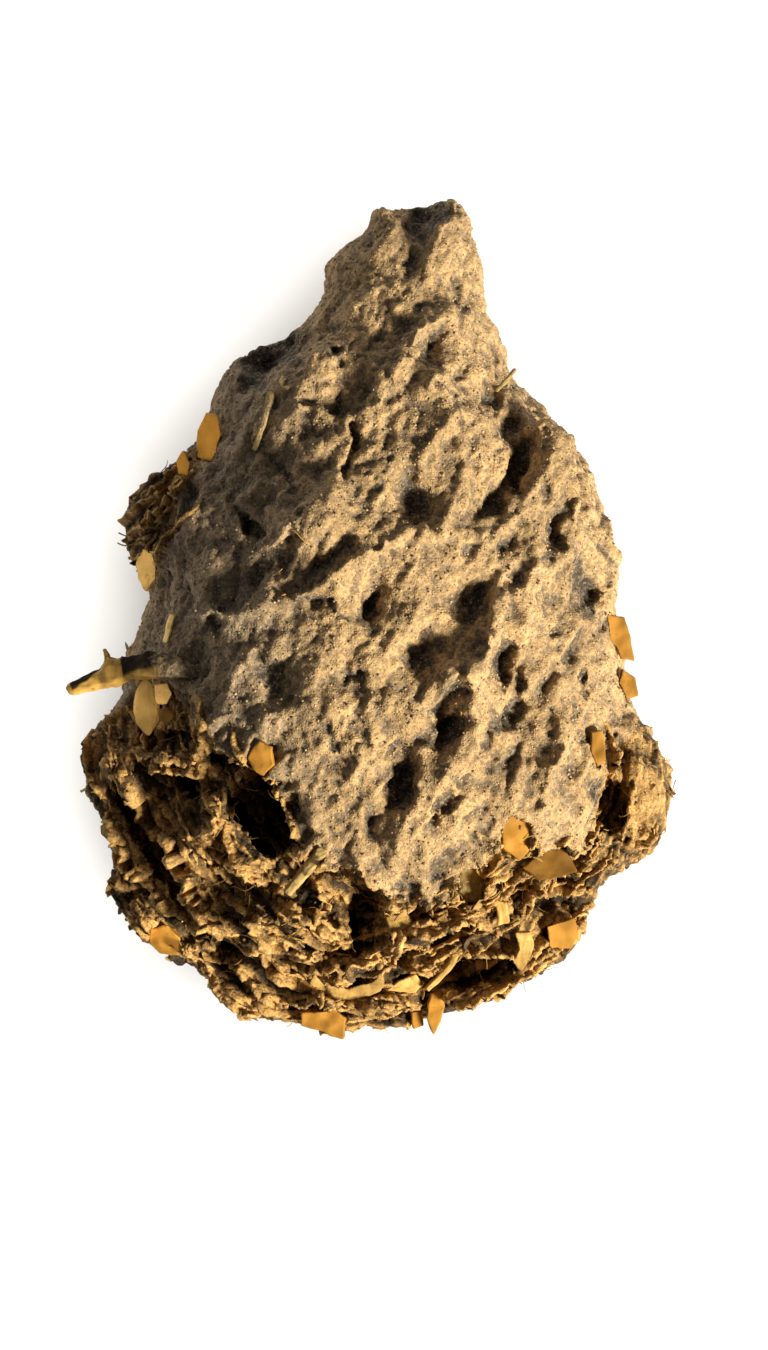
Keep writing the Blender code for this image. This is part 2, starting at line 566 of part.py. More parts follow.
def scale_mesh(outline, thickness, slope, root):
    """A flat bit: its outline seen from the front, as thick as given, sloping away from its root."""
    curve = bpy.data.curves.new("outline", "CURVE")
    curve.dimensions = "2D"
    curve.fill_mode = "BOTH"
    curve.extrude = thickness * MM / 2
    spline = curve.splines.new("POLY")
    spline.points.add(len(outline) - 1)
    spline.use_cyclic_u = True
    for point, (x, y) in zip(spline.points, outline):
        point.co = (x * MM, y * MM, 0.0, 1.0)
    guide = bpy.data.objects.new("outline", curve)
    bpy.context.scene.collection.objects.link(guide)
    mesh = evaluated_mesh(guide)
    bpy.data.objects.remove(guide)
    for vertex in mesh.vertices:
        dx, dy = vertex.co.x / MM - root.x, vertex.co.y / MM - root.y
        vertex.co.z += (root.z + slope[0] * dx + slope[1] * dy) * MM
    return mesh


def husk_mesh(centre, halves, turns):
    """An almond-shaped seed husk: a sphere drawn out, with its ends pinched to points."""
    bm = bmesh.new()
    bmesh.ops.create_uvsphere(bm, u_segments=12, v_segments=9, radius=1.0)
    for vert in bm.verts:
        pinch = 1.0 - 0.45 * abs(vert.co.z) ** 3
        across, along, up = vert.co.x * pinch, vert.co.z, vert.co.y * pinch
        vert.co = Vector((across * halves[0], along * halves[1], up * halves[2]))
    turn = Euler([math.radians(angle) for angle in turns]).to_matrix().to_4x4()
    matrix = Matrix.Scale(MM, 4) @ Matrix.Translation(centre) @ turn
    bmesh.ops.transform(bm, verts=bm.verts, matrix=matrix)
    mesh = bpy.data.meshes.new("husk")
    bm.to_mesh(mesh)
    bm.free()
    return mesh


def add_piece(name, mesh, collection):
    """A plant bit as a closed solid of its own, with its origin at its middle."""
    bm = bmesh.new()
    bm.from_mesh(mesh)
    bmesh.ops.remove_doubles(bm, verts=bm.verts, dist=1e-6)
    bmesh.ops.triangulate(bm, faces=bm.faces)
    bmesh.ops.recalc_face_normals(bm, faces=bm.faces)
    points = points_of(bm)
    middle = Vector((points.min(axis=0) + points.max(axis=0)) / 2)
    bmesh.ops.translate(bm, verts=bm.verts, vec=-middle)
    piece_mesh = bpy.data.meshes.new(name)
    bm.to_mesh(piece_mesh)
    bm.free()
    piece = bpy.data.objects.new(name, piece_mesh)
    piece.location = middle
    collection.objects.link(piece)
    return piece


def plant_bits(mass, collection):
    """Every plant bit, placed on the mass by its root."""
    bm = bmesh.new()
    bm.from_mesh(mass.data)
    bmesh.ops.transform(bm, verts=bm.verts, matrix=Matrix.Scale(1 / MM, 4))
    tree = BVHTree.FromBMesh(bm)
    bm.free()
    twig_end = front_point(tree, *TWIG_ROUTE[-1][:2])
    twig_places = [(x, y, twig_end.z + level) for x, y, level in TWIG_ROUTE]
    yield add_piece("twig_stub", stalk_mesh(twig_places, TWIG_RADII), collection), "charred_twig"
    for name, (material, radii, *route) in STALKS.items():
        places = [front_point(tree, x, y, sink=-lift) for x, y, lift in route]
        yield add_piece(name, stalk_mesh(places, radii), collection), material
    for name, (x, y, lift, halves, turns) in HUSKS.items():
        mesh = husk_mesh(front_point(tree, x, y, sink=-lift), halves, turns)
        yield add_piece(name, mesh, collection), "pale_husk"
    for name, (material, thickness, slope, (x, y, lift), *outline) in SCALES.items():
        root = front_point(tree, x, y, sink=-lift)
        yield add_piece(name, scale_mesh(outline, thickness, slope, root), collection), material


def cut_socket(mass, piece):
    """Cuts out of the mass the room for one plant bit, with the clearance all round."""
    bm = bmesh.new()
    bm.from_mesh(piece.data)
    bm.normal_update()
    grown = [v.co + v.normal * SOCKET_GAP * MM * min(v.calc_shell_factor(), 2.0) for v in bm.verts]
    move_to(bm, grown)
    mesh = bpy.data.meshes.new("socket")
    bm.to_mesh(mesh)
    bm.free()
    cutter = bpy.data.objects.new("socket", mesh)
    cutter.location = piece.location
    bpy.context.scene.collection.objects.link(cutter)
    cut = mass.modifiers.new("socket", "BOOLEAN")
    cut.operation = "DIFFERENCE"
    cut.object = cutter
    apply_modifiers(mass)
    bpy.data.objects.remove(cutter)


def paint(obj, slot):
    """Gives the object its material, made once for each slot."""
    material = bpy.data.materials.get(slot)
    if material is None:
        colour, roughness = MATERIALS[slot]
        material = bpy.data.materials.new(slot)
        material.use_nodes = True
        shader = material.node_tree.nodes["Principled BSDF"]
        shader.inputs["Base Color"].default_value = (*colour, 1.0)
        shader.inputs["Roughness"].default_value = roughness
        material.diffuse_color = (*colour, 1.0)
    obj.data.materials.clear()
    obj.data.materials.append(material)


def rest_on_table(pieces):
    """Parents every piece to one empty that puts the middle of the box's underside at the origin."""
    bpy.context.view_layer.update()
    corners = [piece.matrix_world @ Vector(corner) for piece in pieces for corner in piece.bound_box]
    low = Vector([min(corner[k] for corner in corners) for k in range(3)])
    high = Vector([max(corner[k] for corner in corners) for k in range(3)])
    place = bpy.data.objects.new("resting_place", None)
    place.location = (-(low.x + high.x) / 2, -(low.y + high.y) / 2, -low.z)
    bpy.context.scene.collection.objects.link(place)
    for piece in pieces:
        piece.parent = place


def main():
    for obj in list(bpy.data.objects):
        bpy.data.objects.remove(obj)
    coprolite = bpy.data.collections.new("coprolite")
    bpy.context.scene.collection.children.link(coprolite)
    mass = dung_mass(coprolite)
    pieces = list(plant_bits(mass, coprolite))
    for piece, slot in pieces:
        cut_socket(mass, piece)
        paint(piece, slot)

    def close(bm):
        bmesh.ops.triangulate(bm, faces=bm.faces)
        keep_largest_body(bm)

    edit(mass, close)
    for polygon in mass.data.polygons:
        polygon.use_smooth = True
    paint(mass, "dung")
    rest_on_table([mass] + [piece for piece, _ in pieces])


main()
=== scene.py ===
"""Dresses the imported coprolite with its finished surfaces.

The dung mass gets its crust, broken layered face, pits, cracks, fins and clods as real shape. The plant bits
get rounded, fibrous forms. Scattered husks, fibres, crumbs and sand grains are made by Geometry Nodes.
Lengths here are in millimetres in the frame's own axes: X across, Y up to the tip, Z up off the table.
"""

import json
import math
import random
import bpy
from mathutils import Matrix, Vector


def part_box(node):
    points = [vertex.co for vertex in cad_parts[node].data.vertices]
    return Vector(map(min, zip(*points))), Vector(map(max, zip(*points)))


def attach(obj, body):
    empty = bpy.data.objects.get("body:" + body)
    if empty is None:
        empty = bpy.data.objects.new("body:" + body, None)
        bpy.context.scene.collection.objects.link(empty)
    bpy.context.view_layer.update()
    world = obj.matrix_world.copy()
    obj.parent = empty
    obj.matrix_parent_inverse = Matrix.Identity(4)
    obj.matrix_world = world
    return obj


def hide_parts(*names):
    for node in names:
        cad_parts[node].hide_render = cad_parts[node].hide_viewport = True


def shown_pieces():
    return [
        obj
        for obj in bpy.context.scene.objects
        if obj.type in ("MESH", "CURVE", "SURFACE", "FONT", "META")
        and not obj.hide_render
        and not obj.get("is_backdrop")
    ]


bl_info = {
    "name": "Coprolite finish",
    "version": (1, 0, 0),
    "blender": (4, 5, 0),
    "location": "3D View > Sidebar > Coprolite",
    "description": "Builds the crust, the broken face and the plant bits of a fossil dropping",
    "category": "Object",
}

import bmesh
import bpy
import numpy as np
from bpy.props import FloatProperty, FloatVectorProperty, IntProperty, PointerProperty
from bpy.types import Operator, Panel, PropertyGroup
from mathutils import Matrix, Vector, noise
from mathutils.bvhtree import BVHTree

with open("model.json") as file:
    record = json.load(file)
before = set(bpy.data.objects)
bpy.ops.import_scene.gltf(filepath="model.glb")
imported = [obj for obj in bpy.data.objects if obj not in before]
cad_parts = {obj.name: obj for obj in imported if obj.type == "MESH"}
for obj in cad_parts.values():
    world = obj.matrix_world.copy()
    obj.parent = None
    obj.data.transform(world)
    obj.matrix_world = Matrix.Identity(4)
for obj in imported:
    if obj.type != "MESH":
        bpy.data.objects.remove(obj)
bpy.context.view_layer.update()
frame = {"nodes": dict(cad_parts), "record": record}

MM = 0.001
OUTLINE_LEVEL = 10.3  # height of the outline's plane above the table
BODY = "root"

# The crust's torn lower edge on the front, from left to right
CRUST_EDGE = (
    (-16.0, -2.5), (-13.0, -3.2), (-9.8, -4.4), (-9.0, -6.0), (-7.8, -7.3), (-6.1, -8.0), (-4.8, -9.0),
    (-4.1, -10.9), (-3.4, -12.6), (-2.0, -13.5), (-0.3, -13.4), (0.8, -15.0), (3.3, -15.3),
    (4.4, -14.3), (6.2, -13.0), (7.4, -11.2), (8.6, -11.2), (9.6, -12.9), (11.9, -12.8), (12.5, -10.4),
    (13.0, -7.0), (15.5, -5.4),
)
# The crust's left edge, from the twig up to the shoulder
CRUST_SIDE = ((-13.6, -2.0), (-12.4, 2.2), (-10.6, 4.0), (-9.4, 7.8), (-9.5, 10.2), (-9.1, 13.9))
BACK_CRUST_EDGE = -15.5  # where the crust ends on the back

# Pits on the front: x, y, half length, half width, turn in degrees from +X, depth
PITS = (
    (2.6, 22.6, 1.7, 1.25, 90, 2.3),
    (2.2, 20.2, 1.8, 0.8, 90, 0.5),
    (5.2, 21.4, 0.9, 0.35, 100, 0.5),
    (5.0, 17.8, 2.2, 0.35, 104, 0.6),
    (-0.9, 21.0, 0.9, 0.5, 80, 0.5),
    (3.4, 15.1, 1.1, 0.7, 60, 0.5),
    (1.6, 16.4, 0.8, 0.35, 60, 0.4),
    (3.9, 15.7, 0.9, 0.3, 30, 0.4),
    (6.6, 12.3, 1.1, 0.7, 80, 0.5),
    (2.6, 17.6, 0.7, 0.4, 30, 0.4),
    (8.5, 12.8, 0.4, 0.3, 20, 0.5),
    (7.5, 10.5, 1.1, 0.7, 30, 0.5),
    (7.2, 10.9, 0.5, 0.3, 20, 0.6),
    (8.3, 8.7, 1.9, 0.5, 82, 0.9),
    (6.5, 6.5, 1.5, 0.6, 50, 0.8),
    (2.2, 6.6, 1.7, 0.6, 116, 0.45),
    (7.3, 4.5, 0.8, 0.6, 60, 0.6),
    (9.8, 6.5, 0.6, 0.4, 70, 0.6),
    (10.2, 4.4, 1.3, 0.55, 70, 1.0),
    (11.6, 1.9, 2.3, 0.7, 97, 1.4),
    (13.1, 3.6, 0.8, 0.35, 88, 0.8),
    (9.6, 6.6, 1.0, 0.4, 80, 0.8),
    (10.6, -0.9, 1.2, 0.4, 75, 0.7),
    (12.6, -1.4, 1.0, 0.35, 80, 0.6),
    (11.1, 8.9, 0.8, 0.3, 80, 0.5),
    (5.7, 1.1, 1.4, 0.5, 68, 0.5),
    (3.0, -1.1, 1.4, 0.5, 30, 0.4),
    (-0.1, 0.5, 1.0, 0.7, 60, 1.2),
    (7.2, -2.6, 1.2, 0.4, 60, 1.0),
    (8.2, -3.8, 0.6, 0.4, 30, 0.8),
    (-1.2, -3.1, 0.8, 0.5, 20, 0.9),
    (-5.6, -3.0, 1.2, 0.8, 40, 0.9),
    (5.5, -2.8, 0.9, 0.4, 20, 0.6),
    (3.9, -6.2, 1.1, 0.8, 20, 1.1),
    (4.0, -4.4, 1.0, 0.6, 60, 0.8),
    (1.8, -8.7, 1.4, 0.8, 70, 1.4),
    (7.8, -5.4, 1.1, 0.7, 60, 1.1),
    (7.2, -7.9, 1.4, 0.8, 50, 0.8),
    (4.5, -8.8, 0.5, 0.2, 90, 0.7),
    (0.1, -11.2, 0.8, 0.5, 60, 0.8),
    (3.8, -13.7, 0.9, 0.6, 30, 0.8),
    (2.1, -15.7, 1.0, 0.5, 10, 0.8),
    (-5.9, 14.7, 2.6, 1.4, 32, 3.2),
    (-2.1, 14.9, 1.0, 0.3, 35, 0.8),
    (-1.0, 10.3, 1.2, 0.3, 100, 0.9),
    (-6.8, 5.4, 1.1, 0.4, 125, 0.9),
    (-8.2, 7.6, 0.9, 0.8, 0, 0.3),
    (-3.1, 2.7, 2.0, 0.25, 25, 0.6),
    (-9.0, -0.6, 1.2, 0.4, 0, 0.6),
    (-8.0, -6.6, 1.6, 1.2, 20, 0.4),
    (13.4, -10.6, 1.3, 0.9, 80, 1.8),
    (14.2, -13.2, 1.1, 0.6, 20, 1.0),
    (15.6, -7.6, 0.9, 0.5, 70, 0.7),
    (15.7, -11.8, 0.9, 0.5, 110, 0.7),
    (10.8, -10.6, 1.9, 1.3, 80, 0.4),
    (13.2, -6.2, 0.9, 0.4, 80, 0.7),
    (-11.5, -6.9, 1.8, 0.7, 5, 1.0),
    (-8.2, -7.9, 2.0, 0.5, 5, 0.9),
    (-6.0, -11.1, 2.5, 1.7, 150, 3.6),
    (-4.9, -12.1, 1.0, 0.8, 60, 1.6),
    (-8.2, -13.2, 1.2, 0.7, 130, 0.9),
    (-0.5, -16.6, 1.8, 0.9, 75, 1.2),
    (-13.8, -15.9, 1.7, 0.6, 95, 0.8),
    (-7.9, -18.4, 1.4, 0.7, 70, 1.2),
    (-4.3, -20.9, 1.0, 0.6, 20, 0.9),
    (3.3, -18.4, 0.5, 0.4, 20, 0.6),
    (5.3, -20.4, 1.4, 0.5, 10, 1.0),
    (8.6, -15.8, 1.4, 0.8, 70, 1.0),
    (-10.3, -9.5, 1.6, 0.5, 20, 0.8),
    (-12.3, -10.6, 1.8, 0.4, 120, 0.8),
    (-12.2, -13.2, 1.8, 0.45, 128, 0.9),
)

# Torn layers that jut out of the broken face: reach, thickness, then the points of the torn edge
LEDGES = (
    (1.9, 0.7, (-14.7, -8.7), (-13.5, -9.1), (-13.0, -9.9), (-12.7, -10.7), (-12.3, -11.6), (-11.5, -12.3)),
    (1.8, 0.7, (-11.8, -12.0), (-10.9, -13.1), (-10.5, -14.1), (-10.1, -14.5), (-9.8, -15.4), (-9.2, -16.2)),
    (1.7, 0.7, (-15.0, -10.9), (-14.6, -11.8), (-13.9, -13.0), (-13.5, -14.1), (-12.8, -15.0)),
    (1.7, 0.7, (-12.9, -14.9), (-11.9, -15.6), (-10.9, -16.6), (-10.2, -17.0), (-9.2, -17.3), (-8.7, -17.5)),
    (1.1, 0.4, (-13.9, -8.0), (-13.0, -7.7), (-11.6, -7.8), (-10.5, -7.9), (-9.7, -8.1)),
    (0.9, 0.35, (-13.1, -8.5), (-11.9, -8.4), (-10.5, -8.4), (-9.3, -8.9)),
    (1.0, 0.4, (-9.3, -9.7), (-8.6, -10.5), (-8.7, -11.4), (-9.5, -12.0)),
    (1.1, 0.5, (-9.2, -12.9), (-8.0, -13.4), (-6.8, -14.2), (-5.9, -15.0)),
    (1.3, 0.5, (-7.6, -15.7), (-6.6, -17.0), (-6.1, -17.8), (-5.8, -18.2), (-5.1, -18.6)),
    (1.2, 0.4, (-5.0, -16.2), (-3.6, -16.8), (-2.6, -17.3), (-1.9, -18.2)),
    (1.1, 0.4, (-6.2, -18.9), (-5.3, -20.1), (-4.2, -20.5), (-3.4, -20.6), (-1.4, -20.4)),
    (1.0, 0.4, (-4.9, -19.3), (-3.0, -19.6), (-1.0, -19.4), (0.6, -19.0)),
    (1.1, 0.4, (-9.3, -20.2), (-8.5, -21.4), (-7.2, -22.4), (-6.3, -22.3)),
    (1.0, 0.4, (-5.2, -21.8), (-3.6, -21.6), (-2.3, -21.4), (-0.4, -21.9), (1.0, -22.2)),
    (1.0, 0.45, (0.6, -15.6), (1.4, -16.4), (1.3, -18.4), (0.6, -20.0)),
    (1.2, 0.45, (1.8, -17.2), (3.2, -17.4), (4.6, -16.9), (5.8, -16.8), (6.8, -17.6)),
    (1.2, 0.45, (5.4, -18.9), (6.6, -18.9), (8.1, -19.0), (9.3, -18.3), (10.6, -16.9)),
    (1.0, 0.4, (3.6, -21.3), (5.0, -21.7), (6.8, -21.0), (8.6, -20.2), (10.2, -19.2)),
    (1.0, 0.4, (8.6, -15.0), (9.6, -15.4), (10.9, -15.2), (12.0, -15.6)),
    (0.9, 0.4, (-13.9, -16.9), (-12.9, -17.9), (-11.4, -18.4), (-10.2, -19.0)),
    (1.0, 0.4, (-3.4, -14.2), (-2.6, -15.5), (-2.9, -17.0), (-1.7, -18.2)),
    (0.9, 0.4, (-13.9, 4.6), (-12.6, 5.4), (-11.4, 6.6), (-10.4, 8.2)),
    (0.9, 0.4, (-12.7, 6.9), (-11.6, 7.6), (-10.8, 8.6)),
    (0.8, 0.4, (-13.6, 3.4), (-12.2, 3.6), (-10.9, 4.9)),
    (1.0, 0.4, (-15.9, -6.3), (-16.0, -8.1), (-15.6, -9.4), (-15.0, -10.2)),
    (1.0, 0.4, (-14.7, -13.2), (-14.3, -14.2), (-14.3, -15.4)),
    (0.9, 0.4, (-13.6, -16.0), (-12.9, -17.2), (-11.9, -18.0), (-11.0, -19.0)),
    (1.0, 0.4, (-11.6, -13.4), (-10.8, -14.6), (-10.2, -15.9), (-9.4, -17.0), (-8.2, -18.0)),
    (0.9, 0.35, (-10.9, -10.2), (-10.6, -11.4), (-9.8, -12.6), (-8.8, -13.9), (-7.9, -14.9)),
    (0.9, 0.35, (-8.8, -18.9), (-7.6, -19.8), (-6.6, -20.9), (-5.4, -22.2)),
    (0.9, 0.35, (1.6, -19.7), (3.4, -19.9), (4.6, -19.2)),
    (0.8, 0.3, (9.8, -13.8), (11.2, -14.2), (12.4, -14.0)),
    (0.9, 0.35, (12.9, -5.9), (13.4, -7.4), (13.3, -9.0)),
    (0.8, 0.3, (14.0, -12.2), (15.2, -12.6), (16.0, -11.6)),
    (0.9, 0.5, (-4.9, -9.9), (-4.5, -11.0), (-3.9, -12.4)),
)
MASS_TRIANGLES = 196000
COARSE_GRID = 0.2  # spacing of the surface points that take the coarse relief
# Dark troughs between the torn layers: half width, depth, then the points
TROUGHS = (
    (0.75, 1.3, (-14.0, -9.9), (-13.5, -11.0), (-12.9, -12.3), (-12.2, -13.6), (-11.2, -14.6), (-10.2, -15.9)),
    (0.7, 1.2, (-14.8, -13.0), (-13.9, -14.5), (-13.0, -15.7), (-11.8, -16.6), (-10.6, -17.7), (-9.4, -18.3)),
    (0.6, 1.0, (-12.9, -9.1), (-11.3, -9.2), (-10.0, -9.5)),
    (0.5, 1.0, (-10.6, -7.7), (-8.4, -8.0), (-6.2, -7.9)),
    (0.6, 0.9, (-9.0, -13.9), (-8.0, -15.0), (-7.4, -16.4), (-6.7, -17.6)),
    (0.6, 0.9, (-6.9, -18.6), (-6.2, -19.8), (-5.2, -20.9), (-3.4, -21.1)),
    (0.5, 0.9, (-5.0, -18.6), (-3.2, -18.6), (-1.4, -18.5), (0.2, -18.1)),
    (0.5, 0.8, (-4.4, -15.6), (-3.4, -16.0), (-2.4, -16.6)),
    (0.6, 0.9, (2.0, -18.4), (3.8, -18.3), (5.2, -17.9)),
    (0.6, 0.9, (5.4, -20.1), (7.0, -20.1), (8.8, -19.4), (10.0, -18.2)),
    (0.5, 0.8, (7.6, -15.3), (9.2, -16.2), (10.9, -16.2)),
    (0.5, 0.9, (-13.0, 5.0), (-12.1, 6.0), (-11.2, 7.4)),
    (0.4, 0.8, (-12.0, 4.1), (-10.9, 5.5), (-10.2, 7.0)),
)
SUNK_BITS = ("twig_stub", "crust_straw", "side_straw", "neck_straw")  # bits that the crust partly covers
BIT_MARGIN = 0.08  # how far around a plant bit the mass is lowered
BIT_PROBES = ((0.0, 0.0), (-BIT_MARGIN, 0.0), (BIT_MARGIN, 0.0), (0.0, -BIT_MARGIN), (0.0, BIT_MARGIN))
CRUST_SHELF = 0.8  # how far the sandy top of the crust reaches out on its overhanging lip
LIP = (1.1, 0.8)  # reach and thickness of the crust's edge, where it overhangs the broken face
LAYER_CENTRE = (0.0, -5.0)  # the layers' torn edges jut away from here

# Slabs of crust that lie on their neighbours: rise, then the points of the edge, with the slab on its left
SLAB_EDGES = (
    (0.7, (1.3, 4.2), (-0.8, 3.3), (-2.3, 2.1), (-3.7, 1.3), (-5.4, 1.6)),
    (0.8, (-5.4, 4.4), (-5.6, 2.4), (-6.6, 1.0), (-8.2, 0.3), (-9.6, 0.9)),
    (0.6, (-0.2, 13.6), (-0.3, 12.2), (-1.6, 11.4), (-3.4, 11.6), (-4.6, 12.6)),
    (0.6, (-6.2, 7.4), (-7.4, 6.4), (-8.9, 6.7)),
    (0.6, (-3.4, 6.9), (-4.4, 5.6), (-5.6, 4.6)),
    (0.6, (4.6, 17.0), (2.9, 16.2), (1.7, 14.9), (0.8, 13.2)),
    (0.5, (4.9, 15.6), (3.4, 15.3), (2.8, 14.1)),
    (0.6, (8.6, 9.8), (8.4, 7.6), (7.2, 5.7), (5.5, 5.2)),
    (0.5, (9.6, 4.9), (9.4, 3.3), (8.3, 1.6), (7.4, 0.6)),
    (0.6, (7.4, 0.3), (6.4, -1.6), (5.1, -3.4), (3.4, -3.0)),
    (0.6, (8.6, -2.2), (8.3, -4.4), (6.9, -6.0), (5.8, -7.2)),
    (0.5, (12.0, 7.2), (10.7, 5.0), (10.9, 2.6), (11.4, 0.4)),
    (0.6, (13.9, 4.9), (13.4, 2.4), (13.0, -0.2), (12.0, -2.0)),
    (0.6, (5.4, -8.9), (4.4, -10.8), (3.1, -12.1)),
    (0.5, (10.2, -4.4), (10.1, -6.6), (9.0, -8.4), (8.7, -10.4)),
)
# Cracks in the crust: half width, depth, then the points
CRACKS = (
    (0.22, 0.9, (-2.7, 15.7), (-1.9, 14.9), (-1.4, 14.1)),
    (0.25, 0.9, (-1.1, 10.9), (-0.9, 10.0), (-1.2, 9.2), (-1.5, 8.2)),
    (0.22, 0.7, (-7.4, 6.2), (-6.7, 5.3), (-6.0, 4.5)),
    (0.18, 0.6, (-5.9, 9.0), (-4.9, 8.2), (-4.6, 7.0)),
    (0.18, 0.6, (-4.0, 0.9), (-2.2, 0.4), (-0.9, -0.2)),
    (0.2, 0.8, (7.9, -1.6), (7.3, -2.9), (6.9, -3.9)),
    (0.15, 0.6, (4.9, -8.4), (4.6, -9.3)),
    (0.16, 0.5, (0.6, 9.6), (0.9, 8.2), (0.4, 7.1)),
    (0.16, 0.5, (3.6, 13.2), (4.6, 12.1), (4.9, 10.9)),
    (0.16, 0.5, (-3.4, -5.6), (-2.2, -6.4), (-1.9, -7.6)),
)


class CoproliteSizes(PropertyGroup):
    """Sizes that shape the finish."""

    surface_grid: FloatProperty(
        name="Surface grid", description="Spacing of the mass's surface points", default=0.15, unit="NONE"
    )
    relief: FloatProperty(
        name="Relief", description="Strength of the crust's rough relief", default=1.0, min=0.0, max=2.0
    )
    grains: IntProperty(name="Sand grains", description="Sand grains on the whole surface", default=6000, min=0)
    crumbs: IntProperty(name="Crumbs", description="Crumbs of dung on the broken face", default=900, min=0)
    laminae: IntProperty(name="Laminae", description="Thin torn leaves on the broken face", default=130, min=0)
    fibres: IntProperty(name="Fibres", description="Thin plant fibres", default=240, min=0)
    chaff: IntProperty(name="Chaff", description="Small husk flakes", default=260, min=0)


class CoproliteColours(PropertyGroup):
    """Colours of the finish."""

    crust: FloatVectorProperty(
        name="Crust", description="Sandy crust", subtype="COLOR", default=(0.405, 0.262, 0.122), min=0, max=1
    )
    # This colour is dust and also painted shade: it is mixed into the fine creases and the hollows, and onto the
    # crust's left side that faces away from the key light.
    dust: FloatVectorProperty(
        name="Dust", description="Grey dust in the hollows", subtype="COLOR", default=(0.17, 0.14, 0.105), min=0, max=1
    )
    # This colour is grit and also painted shade: it is laid in the recesses and on the pits' floors.
    grit: FloatVectorProperty(
        name="Grit", description="Dark grit in the pits", subtype="COLOR", default=(0.095, 0.074, 0.05), min=0, max=1
    )
    broken: FloatVectorProperty(
        name="Broken face", description="Fibrous inside", subtype="COLOR", default=(0.47, 0.27, 0.088), min=0, max=1
    )
    # This colour is the dark matter between the layers, and also painted shade: the deep pits, the sunken parts of the
    # broken face and the gaps beside the torn layers are mixed towards it.
    humus_and_shade: FloatVectorProperty(
        name="Humus", description="Dark matter between layers", subtype="COLOR", default=(0.055, 0.036, 0.02), min=0, max=1
    )
    husk: FloatVectorProperty(
        name="Husk", description="Pale husks and straws", subtype="COLOR", default=(0.54, 0.33, 0.10), min=0, max=1
    )
    amber: FloatVectorProperty(
        name="Amber", description="Glossy amber flakes", subtype="COLOR", default=(0.36, 0.172, 0.028), min=0, max=1
    )


def smoothstep(low, high, value):
    """0 below low, 1 above high and an even curve between them."""
    t = np.clip((value - low) / (high - low), 0.0, 1.0)
    return t * t * (3.0 - 2.0 * t)


def noise_at(points, scale, seed=0.0):
    """Soft noise from about -1 to 1 whose bumps are about scale across."""
    scaled = points / scale + seed
    return np.array([noise.noise(p) for p in scaled.tolist()])


def read_points(mesh):
    flat = np.empty(len(mesh.vertices) * 3)
    mesh.vertices.foreach_get("co", flat)
    return flat.reshape(-1, 3) / MM


def read_normals(mesh):
    flat = np.empty(len(mesh.vertices) * 3)
    mesh.vertices.foreach_get("normal", flat)
    return flat.reshape(-1, 3)


def write_points(mesh, points):
    mesh.vertices.foreach_set("co", (points * MM).ravel())
    mesh.update()


def store(mesh, name, values):
    """Keeps one value for each point in the mesh, for the materials and the scatters."""
    attribute = mesh.attributes.get(name) or mesh.attributes.new(name, "FLOAT", "POINT")
    attribute.data.foreach_set("value", np.asarray(values, dtype=np.float32))


def evaluated_mesh(obj):
    """A plain mesh of the object with its modifiers applied."""
    bpy.context.view_layer.update()
    return bpy.data.meshes.new_from_object(obj.evaluated_get(bpy.context.evaluated_depsgraph_get()))


def apply_modifiers(obj):
    mesh = evaluated_mesh(obj)
    obj.modifiers.clear()
    obj.data = mesh


def remesh(obj, voxel):
    modifier = obj.modifiers.new("fuse", "REMESH")
    modifier.mode = "VOXEL"
    modifier.voxel_size = voxel * MM
    apply_modifiers(obj)


def relax(obj, factor, times):
    modifier = obj.modifiers.new("relax", "SMOOTH")
    modifier.factor = factor
    modifier.iterations = times
    apply_modifiers(obj)


def merged_copy(node, name):
    """A copy of a CAD node's mesh with its loose triangles merged."""
    bm = bmesh.new()
    bm.from_mesh(frame["nodes"][node].data)
    bmesh.ops.remove_doubles(bm, verts=bm.verts, dist=1e-7)
    mesh = bpy.data.meshes.new(name)
    bm.to_mesh(mesh)
    bm.free()
    obj = bpy.data.objects.new(name, mesh)
    bpy.context.scene.collection.objects.link(obj)
    return obj


def shade_smooth(obj):
    obj.data.polygons.foreach_set("use_smooth", [True] * len(obj.data.polygons))


def beside_route(points, route):
    """Distance, seen from the front, from each point to the route, and 1 on the route's left or -1 on its right."""
    nearest = np.full(len(points), np.inf)
    side = np.zeros(len(points))
    for start, end in zip(np.array(route)[:-1], np.array(route)[1:]):
        run = end - start
        along = np.clip((points[:, :2] - start) @ run / (run @ run), 0.0, 1.0)
        gap = points[:, :2] - (start + along[:, None] * run)
        distance = np.hypot(gap[:, 0], gap[:, 1])
        closer = distance < nearest
        nearest = np.where(closer, distance, nearest)
        side = np.where(closer, np.sign(run[0] * gap[:, 1] - run[1] * gap[:, 0]), side)
    return nearest, side


def distance_to_route(points, route):
    return beside_route(points, route)[0]


def route_ends(points, route, length):
    """0 at the route's ends, rising to 1 at that length from them."""
    ends = np.minimum(*(np.hypot(points[:, 0] - p[0], points[:, 1] - p[1]) for p in (route[0], route[-1])))
    return smoothstep(0.0, length, ends)


